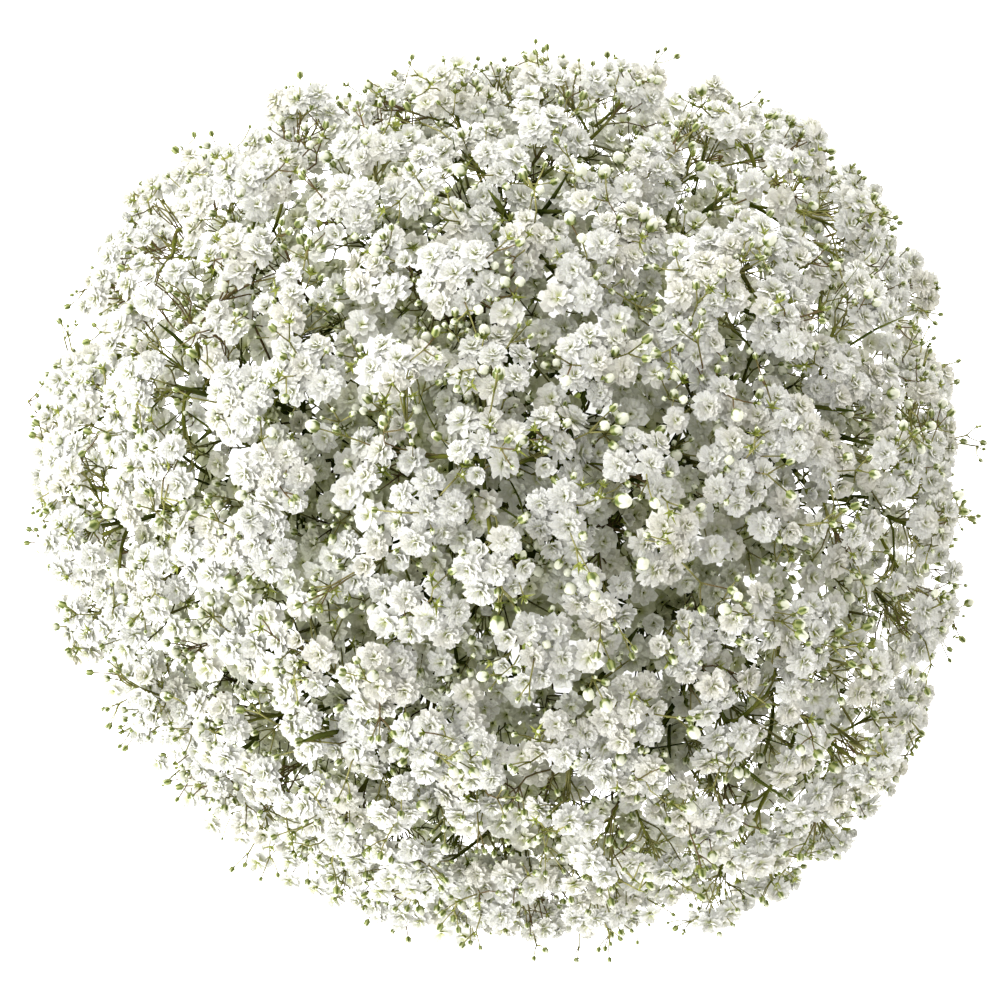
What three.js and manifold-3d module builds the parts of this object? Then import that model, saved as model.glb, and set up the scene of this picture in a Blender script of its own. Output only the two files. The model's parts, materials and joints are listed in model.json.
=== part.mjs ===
// A hand-tied bunch of double-flowered baby's breath (gypsophila).
// Cut stems cross in a spiral where twine binds them, lean out below it to level cut ends that the
// bunch stands on, and branch above it into one round head of small ruffled flowers.
// Millimetres, +Z up. The origin is the middle of the centre stem's cut end, on the ground.

import * as THREE from "three";
import { mergeVertices } from "three/addons/utils/BufferGeometryUtils.js";
import Module from "manifold-3d";

// The head is a flattened ball of flowers, widest at RIM_HEIGHT.
const HEAD_RADIUS = 140;
const HEAD_RISE = 118;
const RIM_HEIGHT = 216;
const HEAD_SIZE = new THREE.Vector3(HEAD_RADIUS, HEAD_RADIUS, HEAD_RISE);
const HEAD_CENTRE = new THREE.Vector3(0, 0, RIM_HEIGHT);

// The bind is where the stems cross and the twine holds them.
const BIND_HEIGHT = 110;
const BIND = new THREE.Vector3(0, 0, BIND_HEIGHT);

// Rings of stems, with angles in degrees. Each ring has the turn of its first stem about the axis,
// its stems' distance from the axis and lean at the bind, the angle from straight up at which their
// sprays aim, and how far each spray reaches, as a share of the head.
const STEM_RINGS = [
  { ring: "centre", firstTurn: 0, bindRadius: 0, lean: 0, aim: 0, reaches: [1] },
  { ring: "inner", firstTurn: 20, bindRadius: 3.7, lean: 14, aim: 27, reaches: [1, 0.97, 1.01, 0.98, 1] },
  {
    ring: "outer",
    firstTurn: 0,
    bindRadius: 7.4,
    lean: 29,
    aim: 48,
    reaches: [1, 1.03, 0.99, 1, 1.03, 0.96, 0.93, 1.05],
  },
];
const STEM_SIDES = 5;
const STEM_STEPS = 5;
const STEM_BASE_RADIUS = 1.75;
const STEM_BIND_RADIUS = 1.6;
const STEM_TIP_RADIUS = 1.1;
const BARE_STEPS = 2; // the steps above the bind that carry no branch

// Layers of flowers, as shares of the head's size, each out to its own angle from straight up.
const FLOWER_LAYERS = [
  { count: 206, share: 0.95, edgeAngle: 106, firstTurn: 0 },
  { count: 74, share: 0.79, edgeAngle: 100, firstTurn: 71 },
  { count: 12, share: 0.63, edgeAngle: 66, firstTurn: 143 },
];
const GOLDEN_TURN = 137.508; // degrees from one flower of a layer to the next
const DEPTH_SPREAD = 0.035;
const FACING_SPREAD = 0.34;
const FACING_AWAY = 0.6; // how much a flower turns away from where its shoot forks off
const FLOWER_SPACING = 25; // between flowers of one layer
const LAYER_SPACING = 16; // between flowers of two layers, seen along the stem
const SPACING_ROUNDS = 12;
const SPRAY_CLEARANCE = 0.2; // half of the least space between two sprays

// A flower has an outer and an inner set of petals round a low centre, on a narrow calyx.
const FLOWER_RADIUS = 12.5;
const PETALS = 5;
const OUTER_PETAL_DROP = 0.8;
const INNER_PETAL_SHARE = 0.84;
const INNER_PETAL_RISE = 3.4;
const CENTRE_RISE = 1.4;
const CALYX_DEPTH = 3.6;
const CALYX_RADIUS = 1.4;

// Branches fork off a stem, and pedicels off a branch. Each of these shoots ends in a flower.
const BRANCH_STEPS = 2;
const BRANCH_RADIUS = 1.2;
const PEDICEL_STEPS = 1;
const PEDICEL_RADIUS = 0.9;
const SHOOT_SIDES = 3;
const SUNK_ROOT_SHARE = 0.35; // a root inside its parent, as a share of the shoot's own radius
const BEND_SHARE = 0.33; // how far a shoot keeps its first and last headings, as a share of its length
const FORK_ANGLE = 46;
const FORK_SPACING = 5;
const FORK_LENGTH_COST = 0.015; // radians of fork angle that a millimetre of shoot is worth
const CYME_SIZE = 4; // the most flowers that share one branch

// Twine wound round the bind, with its knot and two loose ends.
const TWINE_RADIUS = 1.1;
const TWINE_TURNS = 4;
const TWINE_SIDES = 14;
const TWINE_GAP = 0.35;
const KNOT_TURN = 250;
const KNOT_RADIUS = 2.6;
const LOOSE_END_SIDES = 4;
const LOOSE_END_STEPS = 3;
const LOOSE_END_TURNS = [-34, 26]; // from the knot's turn about the axis, in degrees
const LOOSE_END_REACH = 19;
const LOOSE_END_DROP = 17;

const SEED = 20261;

const wasm = await Module();
wasm.setup();

// Repeatable draws between -1 and 1.
function drawer(seed) {
  let state = seed;
  return () => {
    state = (Math.imul(state, 1664525) + 1013904223) >>> 0;
    return state / 2 ** 31 - 1;
  };
}

const draw = drawer(SEED);

// The direction at an angle from straight up and a turn about the axis, both in degrees.
function direction(fromUp, turn) {
  const tilt = THREE.MathUtils.degToRad(fromUp);
  const round = THREE.MathUtils.degToRad(turn);
  return new THREE.Vector3(
    Math.sin(tilt) * Math.cos(round),
    Math.sin(tilt) * Math.sin(round),
    Math.cos(tilt),
  );
}

// A ring of points about a centre, across the frame's tangent, anticlockwise seen from the tip.
// The profile gives each point's distance from the centre and its rise along the tangent.
function ringOf(count, centre, frame, profile) {
  return Array.from({ length: count }, (_, i) => {
    const angle = (2 * Math.PI * i) / count;
    const { radius, rise } = profile(i);
    return centre
      .clone()
      .addScaledVector(frame.normal, radius * Math.cos(angle))
      .addScaledVector(frame.binormal, radius * Math.sin(angle))
      .addScaledVector(frame.tangent, rise);
  });
}

// A closed solid skinned over rings of evenly spaced points, from a flat root to a tip, which is a
// ring of one point.
function loft(rings) {
  const points = rings.flat();
  const faces = [];
  for (let i = 2; i < rings[0].length; i++) {
    faces.push(0, i, i - 1);
  }
  let start = 0;
  for (let level = 1; level < rings.length; level++) {
    const lower = rings[level - 1].length;
    const upper = rings[level].length;
    const next = start + lower;
    let i = 0;
    let j = 0;
    while (i < lower || j < (upper > 1 ? upper : 0)) {
      if (upper === 1 || j === upper || (i < lower && (i + 1) / lower <= (j + 1) / upper)) {
        faces.push(start + (i % lower), start + ((i + 1) % lower), next + (j % upper));
        i++;
      } else {
        faces.push(start + (i % lower), next + ((j + 1) % upper), next + (j % upper));
        j++;
      }
    }
    start = next;
  }
  const geometry = new THREE.BufferGeometry().setFromPoints(points);
  geometry.setIndex(faces);
  return geometry;
}

// A closed geometry as a solid to join with others.
function solidOf(geometry) {
  const bare = new THREE.BufferGeometry();
  bare.setAttribute("position", geometry.getAttribute("position"));
  bare.setIndex(geometry.index);
  const merged = mergeVertices(bare);
  return new wasm.Manifold(
    new wasm.Mesh({
      numProp: 3,
      vertProperties: merged.attributes.position.array,
      triVerts: new Uint32Array(merged.index.array),
    }),
  );
}

// Solids joined into one closed geometry. Only the outermost surface is kept, which fills any
// pocket that the joining seals.
function joined(geometries) {
  const surfaces = wasm.Manifold.union(geometries.map(solidOf)).decompose();
  const outermost = surfaces.reduce((best, other) => (other.volume() > best.volume() ? other : best));
  const mesh = outermost.getMesh();
  const geometry = new THREE.BufferGeometry();
  geometry.setAttribute("position", new THREE.BufferAttribute(mesh.vertProperties, 3));
  geometry.setIndex(new THREE.BufferAttribute(mesh.triVerts, 1));
  geometry.computeVertexNormals();
  return geometry;
}

// Every spray of the bunch, with the walls of the cone that it has to itself. Each wall is a plane
// through the bind, halfway to another spray, and its normal points to this spray's side.
function laySprays() {
  const sprays = STEM_RINGS.flatMap((ring) =>
    ring.reaches.map((reach, i) => {
      const turn = ring.firstTurn + (360 * i) / ring.reaches.length;
      const name = `stem_${ring.ring}_${i + 1}`;
      return { ...ring, name, reach, turn, axis: direction(ring.aim, turn), flowers: [] };
    }),
  );
  for (const spray of sprays) {
    const others = sprays.filter((other) => other !== spray);
    spray.walls = others.map((other) => spray.axis.clone().sub(other.axis).normalize());
  }
  return sprays;
}

// Moves a flower onto its own layer of the head, and then clear of its spray's walls.
function settle(flower, spray) {
  const fromCentre = flower.centre.clone().sub(HEAD_CENTRE);
  const share = fromCentre.clone().divide(HEAD_SIZE).length();
  flower.centre.copy(HEAD_CENTRE).addScaledVector(fromCentre, flower.share / share);
  for (const wall of spray.walls) {
    const room = flower.centre.clone().sub(BIND).dot(wall) - FLOWER_RADIUS - SPRAY_CLEARANCE;
    if (room < 0) {
      flower.centre.addScaledVector(wall, -room);
    }
  }
}

// Gives every spray its flowers: evenly over each layer of the head, each to the nearest spray.
function layFlowers(sprays) {
  for (const layer of FLOWER_LAYERS) {
    const depth = 1 - Math.cos(THREE.MathUtils.degToRad(layer.edgeAngle));
    for (let i = 0; i < layer.count; i++) {
      const fromUp = THREE.MathUtils.radToDeg(Math.acos(1 - (depth * (i + 0.5)) / layer.count));
      const out = direction(fromUp, layer.firstTurn + GOLDEN_TURN * i);
      const centre = out.clone().multiply(HEAD_SIZE).multiplyScalar(layer.share).add(HEAD_CENTRE);
      const facing = out.clone().divide(HEAD_SIZE).normalize();
      facing.add(new THREE.Vector3(draw(), draw(), draw()).multiplyScalar(FACING_SPREAD)).normalize();
      const aimed = centre.clone().sub(BIND).normalize();
      const nearness = (spray) => spray.axis.dot(aimed);
      const spray = sprays.reduce((best, other) => (nearness(other) > nearness(best) ? other : best));
      const share = layer.share * spray.reach * (1 + DEPTH_SPREAD * draw());
      spray.flowers.push({ layer, share, centre, facing });
    }
  }
}

// Spreads a spray's flowers evenly inside its cone.
function spreadFlowers(spray) {
  for (let round = 0; round < SPACING_ROUNDS; round++) {
    for (const flower of spray.flowers) {
      for (const other of spray.flowers) {
        const apart = flower.centre.clone().sub(other.centre);
        const beside = other.layer === flower.layer;
        if (!beside) {
          apart.projectOnPlane(spray.axis);
        }
        const crowding = (beside ? FLOWER_SPACING : LAYER_SPACING) - apart.length();
        if (other !== flower && crowding > 0) {
          flower.centre.addScaledVector(apart.normalize(), crowding / 2);
        }
      }
    }
    spray.flowers.forEach((flower) => settle(flower, spray));
  }
}

// Splits flowers into small groups of near neighbours, each to share one branch.
function cymesOf(flowers, sideways, upward) {
  if (flowers.length <= CYME_SIZE) {
    return [flowers];
  }
  const extent = (way) => {
    const places = flowers.map((flower) => flower.centre.dot(way));
    return Math.max(...places) - Math.min(...places);
  };
  const way = extent(sideways) > extent(upward) ? sideways : upward;
  const ordered = [...flowers].sort((a, b) => a.centre.dot(way) - b.centre.dot(way));
  const half = Math.ceil(ordered.length / 2);
  return [
    ...cymesOf(ordered.slice(0, half), sideways, upward),
    ...cymesOf(ordered.slice(half), sideways, upward),
  ];
}

// The flower that a group's branch runs on to: the one nearest to a direction from the bind, among
// those in the group's outermost layer.
function leaderOf(flowers, aim) {
  const outermost = Math.max(...flowers.map((flower) => flower.layer.share));
  const nearness = (flower) => flower.centre.clone().sub(BIND).normalize().dot(aim);
  return flowers
    .filter((flower) => flower.layer.share === outermost)
    .reduce((best, flower) => (nearness(flower) > nearness(best) ? flower : best));
}

// The joints of a path, which are the centres and frames of the rings along it.
function jointsOf(path, steps) {
  const { tangents, normals, binormals } = path.computeFrenetFrames(steps);
  return tangents.map((tangent, i) => ({
    centre: path.getPointAt(i / steps),
    frame: { tangent, normal: normals[i], binormal: binormals[i] },
  }));
}

// The joints of a shoot from a place, in a heading, to the calyx of a flower that it meets squarely.
function shootTo(flower, start, heading, steps) {
  const neck = flower.centre.clone().addScaledVector(flower.facing, -CALYX_DEPTH);
  const bend = BEND_SHARE * start.distanceTo(neck);
  const path = new THREE.CubicBezierCurve3(
    start,
    start.clone().addScaledVector(heading, bend),
    neck.clone().addScaledVector(flower.facing, -bend),
    neck,
  );
  return jointsOf(path, steps);
}

// The rings of a shoot's own length, tapering from its first radius to its last.
function shootRings(joints, sides, firstRadius, lastRadius) {
  return joints.map(({ centre, frame }, i) => {
    const radius = THREE.MathUtils.lerp(firstRadius, lastRadius, i / (joints.length - 1));
    return ringOf(sides, centre, frame, () => ({ radius, rise: 0 }));
  });
}

// The rings of the flower at the end of a shoot: the calyx, the two sets of petals and the centre.
function flowerRings(flower, frame, sides) {
  const neck = flower.centre.clone().addScaledVector(flower.facing, -CALYX_DEPTH);
  const petals = (i) =>
    i % 2 === 0
      ? { radius: FLOWER_RADIUS, rise: -OUTER_PETAL_DROP }
      : { radius: FLOWER_RADIUS * INNER_PETAL_SHARE, rise: INNER_PETAL_RISE };
  return [
    ringOf(sides, neck, frame, () => ({ radius: CALYX_RADIUS, rise: 0 })),
    ringOf(2 * PETALS, flower.centre, frame, petals),
    [flower.centre.clone().addScaledVector(flower.facing, CENTRE_RISE)],
  ];
}

// The places along a run of joints, evenly spaced, where shoots can fork off below its flower.
function forksAlong(joints) {
  const places = joints.slice(1).flatMap((joint, i) => {
    const run = joint.centre.clone().sub(joints[i].centre);
    const count = Math.max(1, Math.floor(run.length() / FORK_SPACING));
    return Array.from({ length: count }, (_, k) => ({
      centre: joints[i].centre.clone().addScaledVector(run, (k + 0.5) / count),
      tangent: run.clone().normalize(),
    }));
  });
  return places.slice(0, -1);
}

// The free place from which a shoot best forks off to a flower, which is then taken.
function takeFork(flower, forks) {
  const cost = (fork) => {
    const away = flower.centre.clone().sub(fork.centre);
    const turned = Math.abs(away.angleTo(fork.tangent) - THREE.MathUtils.degToRad(FORK_ANGLE));
    return fork.taken ? Infinity : turned + FORK_LENGTH_COST * away.length();
  };
  const best = forks.reduce((nearest, fork) => (cost(fork) < cost(nearest) ? fork : nearest));
  best.taken = true;
  return best;
}

// A shoot that forks off to a flower from the best of some joints.
function forkedShoot(flower, candidates, steps, radius) {
  const root = takeFork(flower, candidates);
  const away = flower.centre.clone().sub(root.centre).normalize();
  flower.facing.addScaledVector(away, FACING_AWAY).normalize();
  const heading = root.tangent.clone().add(away).normalize();
  const joints = shootTo(flower, root.centre, heading, steps);
  const rings = shootRings(joints, SHOOT_SIDES, SUNK_ROOT_SHARE * radius, radius);
  const tip = flowerRings(flower, joints.at(-1).frame, SHOOT_SIDES);
  return { joints, geometry: loft([...rings.slice(0, -1), ...tip]) };
}

// A cut stem with all its branches, pedicels and flowers, in one solid.
function sprayGeometry(spray) {
  const sideways = new THREE.Vector3(0, 0, 1).cross(direction(90, spray.turn));
  const upward = spray.axis.clone().cross(sideways);
  const heading = direction(spray.lean, spray.turn);
  const bound = BIND.clone().addScaledVector(direction(90, spray.turn - 90), spray.bindRadius);

  const crown = leaderOf(spray.flowers, spray.axis);
  const joints = shootTo(crown, bound, heading, STEM_STEPS);
  const level = (point) => point.addScaledVector(heading, -point.z / heading.z);
  const base = ringOf(STEM_SIDES, bound, joints[0].frame, () => ({ radius: STEM_BASE_RADIUS, rise: 0 }));
  const rings = shootRings(joints, STEM_SIDES, STEM_BIND_RADIUS, STEM_TIP_RADIUS);
  const tip = flowerRings(crown, joints.at(-1).frame, STEM_SIDES);
  const parts = [loft([base.map(level), ...rings.slice(0, -1), ...tip])];

  const stemForks = forksAlong(joints.slice(BARE_STEPS));
  for (const cyme of cymesOf(spray.flowers, sideways, upward)) {
    let forks = stemForks;
    let leader = crown;
    if (!cyme.includes(crown)) {
      const middle = cyme.reduce((sum, flower) => sum.add(flower.centre), new THREE.Vector3());
      leader = leaderOf(cyme, middle.divideScalar(cyme.length).sub(BIND).normalize());
      const branch = forkedShoot(leader, stemForks, BRANCH_STEPS, BRANCH_RADIUS);
      parts.push(branch.geometry);
      forks = [...stemForks, ...forksAlong(branch.joints.slice(1))];
    }
    for (const flower of cyme.filter((other) => other !== leader)) {
      parts.push(forkedShoot(flower, forks, PEDICEL_STEPS, PEDICEL_RADIUS).geometry);
    }
  }
  return joined(parts);
}

// The distance from the axis to the outside of the bound stems, at a height above the bind.
function bundleRadius(height) {
  const { bindRadius, lean } = STEM_RINGS.at(-1);
  return Math.hypot(bindRadius, height * Math.tan(THREE.MathUtils.degToRad(lean))) + STEM_BASE_RADIUS;
}

// The twine's turns, wound closely round the waist of the stems.
function windingGeometry() {
  const half = TWINE_TURNS * TWINE_RADIUS;
  const inside = [];
  const outside = [];
  for (let i = 0; i <= 2 * TWINE_TURNS; i++) {
    const height = i * TWINE_RADIUS - half;
    const ridge = i % 2 === 1 ? 2 * TWINE_RADIUS : TWINE_RADIUS;
    inside.push(new THREE.Vector2(bundleRadius(height) + TWINE_GAP, height));
    outside.push(new THREE.Vector2(bundleRadius(height) + TWINE_GAP + ridge, height));
  }
  const profile = [...inside.reverse(), ...outside, inside[0]];
  return new THREE.LatheGeometry(profile, TWINE_SIDES).rotateX(Math.PI / 2).translate(0, 0, BIND_HEIGHT);
}

// One loose end, springing out from the knot and dropping clear of the stems below.
function looseEndGeometry(knot, turn) {
  const out = direction(90, KNOT_TURN + turn);
  const path = new THREE.QuadraticBezierCurve3(
    knot,
    knot.clone().addScaledVector(out, 0.8 * LOOSE_END_REACH),
    knot.clone().addScaledVector(out, LOOSE_END_REACH).add(new THREE.Vector3(0, 0, -LOOSE_END_DROP)),
  );
  const joints = jointsOf(path, LOOSE_END_STEPS);
  const { centre, frame } = joints.at(-1);
  const tip = centre.clone().addScaledVector(frame.tangent, TWINE_RADIUS);
  return loft([...shootRings(joints, LOOSE_END_SIDES, TWINE_RADIUS, TWINE_RADIUS), [tip]]);
}

// The twine with its knot and its two loose ends, in one solid.
function twineGeometry() {
  const windingRadius = bundleRadius(0) + TWINE_GAP + 2 * TWINE_RADIUS;
  const knot = direction(90, KNOT_TURN).multiplyScalar(windingRadius).add(BIND);
  const lump = new THREE.OctahedronGeometry(KNOT_RADIUS, 1).translate(knot.x, knot.y, knot.z);
  return joined([windingGeometry(), lump, ...LOOSE_END_TURNS.map((turn) => looseEndGeometry(knot, turn))]);
}

function namedMesh(name, geometry, material) {
  const mesh = new THREE.Mesh(geometry, material);
  mesh.name = name;
  return mesh;
}

const plantMaterial = new THREE.MeshStandardMaterial({ color: 0xe4e6d2, roughness: 0.75, metalness: 0 });
const twineMaterial = new THREE.MeshStandardMaterial({ color: 0xb39a6b, roughness: 0.9, metalness: 0 });

const sprays = laySprays();
layFlowers(sprays);

const bunch = new THREE.Group();
bunch.name = "gypsophila_bunch";
for (const spray of sprays) {
  spreadFlowers(spray);
  bunch.add(namedMesh(spray.name, sprayGeometry(spray), plantMaterial));
}
bunch.add(namedMesh("twine", twineGeometry(), twineMaterial));

export default bunch;
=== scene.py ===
"""A hand-tied bunch of double white gypsophila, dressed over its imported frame.

Fourteen cut stems cross in a spiral under twine and branch into one round head. Each large flower of
the frame becomes a cyme: open and half-open flowers, buds and bracts on fine forking pedicels.
Lengths are in millimetres and angles in degrees, until a finished mesh is scaled to metres.
"""

import json
import logging
import math
import random
from dataclasses import dataclass, field
from enum import Enum

import bmesh
import bpy
import numpy as np
from bmesh.types import BMEdge, BMesh, BMFace
from mathutils import Matrix, Vector
from mathutils.geometry import interpolate_bezier
from mathutils.kdtree import KDTree

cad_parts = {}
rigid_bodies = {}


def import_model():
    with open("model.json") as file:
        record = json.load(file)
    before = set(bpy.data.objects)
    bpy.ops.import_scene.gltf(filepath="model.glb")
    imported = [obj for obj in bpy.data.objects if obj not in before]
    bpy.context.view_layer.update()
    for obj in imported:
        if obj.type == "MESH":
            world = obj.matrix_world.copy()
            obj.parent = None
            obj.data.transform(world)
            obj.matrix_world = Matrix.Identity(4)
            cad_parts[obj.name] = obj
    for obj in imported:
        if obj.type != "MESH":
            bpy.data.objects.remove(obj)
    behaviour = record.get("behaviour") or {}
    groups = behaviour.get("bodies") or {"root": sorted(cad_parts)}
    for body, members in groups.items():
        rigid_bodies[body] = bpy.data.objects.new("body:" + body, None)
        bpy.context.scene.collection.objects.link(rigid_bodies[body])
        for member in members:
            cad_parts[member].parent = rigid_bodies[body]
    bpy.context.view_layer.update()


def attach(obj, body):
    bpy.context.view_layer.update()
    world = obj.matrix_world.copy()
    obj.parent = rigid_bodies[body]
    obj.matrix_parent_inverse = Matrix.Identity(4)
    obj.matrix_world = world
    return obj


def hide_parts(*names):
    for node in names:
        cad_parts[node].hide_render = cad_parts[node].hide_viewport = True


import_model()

log = logging.getLogger("gypsophila")

MM = 0.001  # metres
UP = Vector((0, 0, 1))
SKELETON_SEED = 20261  # the frame's own, so that every shoot grows where the frame has it
DRESSING_SEED = 417
RUN = "run"  # attribute: from 0 at the root of a petal, bud or bract to 1 at its tip
RIB = "rib"  # attribute: 1 on a bud's ribs and 0 between them, or from -1 to 1 across a petal
Range = tuple[float, float]  # the least and the most that something can be
Colour = tuple[float, float, float, float]
Socket = bpy.types.NodeSocket


def direction(from_up: float, turn: float) -> Vector:
    """The unit vector at an angle from straight up and a turn about the upright axis."""
    tilt, bearing = math.radians(from_up), math.radians(turn)
    return Vector((math.sin(tilt) * math.cos(bearing), math.sin(tilt) * math.sin(bearing), math.cos(tilt)))


def across(way: Vector) -> tuple[Vector, Vector]:
    """Two unit vectors square to a direction and to each other, right-handed with it."""
    first = way.orthogonal().normalized()
    return first, way.cross(first)


def placement(place: Vector, way: Vector, turn: float, size: float) -> Matrix:
    """The transform that stands a pattern at a place, up a way, turned about it in radians and sized."""
    stand = way.to_track_quat("Z", "Y").to_matrix().to_4x4()
    return Matrix.Translation(place) @ stand @ Matrix.Rotation(turn, 4, "Z") @ Matrix.Scale(size, 4)


# ---- The skeleton: the frame's sprays, flowers and shoots, laid by the same rules ----


@dataclass(frozen=True)
class Head:
    """The flattened ball of flowers, and the waist where the twine binds the stems.

    Its flatness, how many times flatter it is below its rim, is used only to shape the painted shade inside
    it. Its lobes, at even turns about its axis, are how far the sprays stand out past the even ball at its
    rim.
    """

    radius: float = 140.0
    rise: float = 118.0
    rim_height: float = 216.0
    bind_height: float = 110.0
    flatness: float = 1.6
    lobes: tuple[float, ...] = (
        0, 1.5, 1.5, -1, -2, 0, -4, -9, -2.5, 2.5, 10, 2.5,
        -1, -6, -3.5, -7.5, -4.5, -2, 1, 8, -2, -1.5, 2.5, 7,
    )

    @property
    def centre(self) -> Vector:
        """The middle of the ball."""
        return Vector((0, 0, self.rim_height))

    @property
    def bind(self) -> Vector:
        """The middle of the waist."""
        return Vector((0, 0, self.bind_height))

    def scaled(self, way: Vector, share: float) -> Vector:
        """The place that a direction reaches on the ball at a share of its size."""
        return self.centre + Vector((way.x * self.radius, way.y * self.radius, way.z * self.rise)) * share

    def lobe(self, place: Vector) -> Vector:
        """How far the sprays stand out past the even ball near a place, or short of it.

        Args:
            place: The place. The lobes fade from the rim to the top.

        Returns:
            The level offset that the lobes give it.
        """
        flat = Vector((place.x, place.y, 0))
        step = math.degrees(math.atan2(place.y, place.x)) % 360 / 360 * len(self.lobes)
        first = math.floor(step) % len(self.lobes)
        blend = step - math.floor(step)
        reach = self.lobes[first] * (1 - blend) + self.lobes[(first + 1) % len(self.lobes)] * blend
        return flat.normalized() * reach * min(flat.length / self.radius, 1) ** 3

    def within(self, place: Vector, share: float) -> Vector:
        """A place, pulled in if it is outside a share of the ball's size."""
        offset = place - self.centre
        return self.centre + offset * min(1, share / max(self.unscaled(offset).length, share))

    def unscaled(self, offset: Vector) -> Vector:
        """An offset from the middle, as shares of the ball's size."""
        return Vector((offset.x / self.radius, offset.y / self.radius, offset.z / self.rise))


HEAD = Head()


@dataclass(frozen=True)
class StemRing:
    """A ring of stems: how they cross at the waist, and where their sprays aim and reach."""

    name: str
    first_turn: float
    bind_radius: float
    lean: float
    aim: float
    reaches: tuple[float, ...]


STEM_RINGS = (
    StemRing("centre", 0, 0, 0, 0, (1,)),
    StemRing("inner", 20, 3.7, 14, 27, (1, 0.97, 1.01, 0.98, 1)),
    StemRing("outer", 0, 7.4, 29, 48, (1, 1.03, 0.99, 1, 1.03, 0.96, 0.93, 1.05)),
)


@dataclass(frozen=True)
class FlowerLayer:
    """A layer of the frame's flowers, as a share of the head's size, and the cymes that they become."""

    count: int
    share: float
    edge_angle: float
    first_turn: float
    side_flowers: int


FLOWER_LAYERS = (
    FlowerLayer(206, 0.95, 106, 0, 6),
    FlowerLayer(74, 0.79, 100, 71, 4),
    FlowerLayer(12, 0.63, 66, 143, 3),
)
GOLDEN_TURN = 137.508  # from one flower of a layer to the next
DEPTH_SPREAD = 0.035
FACING_SPREAD = 0.34
FACING_AWAY = 0.6  # how much a flower turns away from where its shoot forks off
FLOWER_SPACING = 25  # between flowers of one layer
LAYER_SPACING = 16  # between flowers of two layers, seen along the stem
SPACING_ROUNDS = 12
SPRAY_CLEARANCE = 0.2
FLOWER_RADIUS = 12.5
CALYX_DEPTH = 3.6
STEM_STEPS = 5
BARE_STEPS = 2  # the steps above the waist that carry no branch
BRANCH_STEPS = 2
BEND_SHARE = 0.33  # of a shoot's length, for the handles of its curve
FORK_ANGLE = 46
FORK_SPACING = 5
FORK_LENGTH_COST = 0.015
CYME_SIZE = 4


class Draws:
    """Repeatable draws between -1 and 1, the same as the frame's."""

    def __init__(self, seed: int) -> None:
        """Starts the draws from a seed."""
        self.state = seed

    def next(self) -> float:
        """The next draw."""
        self.state = (self.state * 1664525 + 1013904223) % 2**32
        return self.state / 2**31 - 1

    def vector(self) -> Vector:
        """The next three draws, as a vector."""
        return Vector((self.next(), self.next(), self.next()))


class Grade(Enum):
    """How stout a shoot is: its radius at the root and tip, its sides past four, and its step."""

    STEM = (1.6, 0.5, 4, 3.4)
    BRANCH = (0.66, 0.36, 2, 4.2)
    TWIG = (0.38, 0.27, 0, 5.0)

    def __init__(self, root: float, tip: float, extra_sides: int, step: float) -> None:
        """Names the parts of a grade.

        Args:
            root: Its radius at the root.
            tip: Its radius at the tip.
            extra_sides: How many sides past four it has.
            step: The length of the straight runs that it is drawn in.
        """
        self.root = root
        self.tip = tip
        self.extra_sides = extra_sides
        self.step = step


class Shoot:
    """A curved shoot from its root to the neck of its flower, read by shares of its length."""

    SAMPLES = 201
    UPPER_FORK = (7.5, 0.34)  # how far below the neck, and the most that this is of the length
    LOWER_FORK = (15.0, 0.6)
    NUDGE = 0.01  # the share of the length over which a heading is taken
    TAPER = 1.5
    NODE_LENGTH = 1.8
    NODE_SWELL = 0.5

    def __init__(self, start: Vector, heading: Vector, neck: Vector, facing: Vector, grade: Grade) -> None:
        """Lays the curve.

        Args:
            start: The root.
            heading: The way that it leaves its root.
            neck: Its end, under the flower.
            facing: The way that it meets the flower.
            grade: How stout it is.
        """
        bend = BEND_SHARE * (neck - start).length
        knots = np.array([start, start + heading * bend, neck - facing * bend, neck], float)
        t = np.linspace(0, 1, self.SAMPLES)[:, None]
        s = 1 - t
        weights = np.hstack([s**3, 3 * s * s * t, 3 * s * t * t, t**3])
        self.line = weights @ knots
        runs = np.linalg.norm(np.diff(self.line, axis=0), axis=1)
        self.reach = np.concatenate([[0], np.cumsum(runs)])
        self.length = float(self.reach[-1])
        self.grade = grade
        self.nodes: list[float] = []

    @property
    def upper_fork(self) -> float:
        """The share of the length where the last pedicels of its cyme fork off."""
        return self.share_below_neck(*self.UPPER_FORK)

    @property
    def lower_fork(self) -> float:
        """The share of the length where the first pedicels of its cyme fork off."""
        return self.share_below_neck(*self.LOWER_FORK)

    @property
    def last_fork(self) -> float:
        """The share of the length where the shoot ends in its last fork."""
        return max(self.upper_fork, *self.nodes, 0)

    def share_below_neck(self, distance: float, most: float) -> float:
        """The share of the length at a distance below the neck, or at the most that this may be."""
        return 1 - min(distance / self.length, most)

    def point(self, share: float) -> Vector:
        """The place at a share of the length."""
        at = share * self.length
        return Vector([float(np.interp(at, self.reach, self.line[:, k])) for k in range(3)])

    def tangent(self, share: float) -> Vector:
        """The heading at a share of the length."""
        before, after = max(share - self.NUDGE, 0), min(share + self.NUDGE, 1)
        return (self.point(after) - self.point(before)).normalized()

    def radius(self, share: float) -> float:
        """The shoot's own radius, with its nodes swollen.

        Args:
            share: The share of the length where it is taken.

        Returns:
            The radius.
        """
        plain = self.grade.tip + (self.grade.root - self.grade.tip) * (1 - share) ** self.TAPER
        steps = [(share - node) * self.length / self.NODE_LENGTH for node in self.nodes]
        swell = sum(math.exp(-(step**2)) for step in steps)
        return plain * (1 + self.NODE_SWELL * min(swell, 1))


@dataclass
class Flower:
    """One large flower of the frame, which the dressing turns into a cyme."""

    layer: FlowerLayer
    share: float
    centre: Vector
    facing: Vector
    shoot: Shoot | None = None

    @property
    def neck(self) -> Vector:
        """Where its shoot ends."""
        return self.centre - self.facing * CALYX_DEPTH


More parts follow.
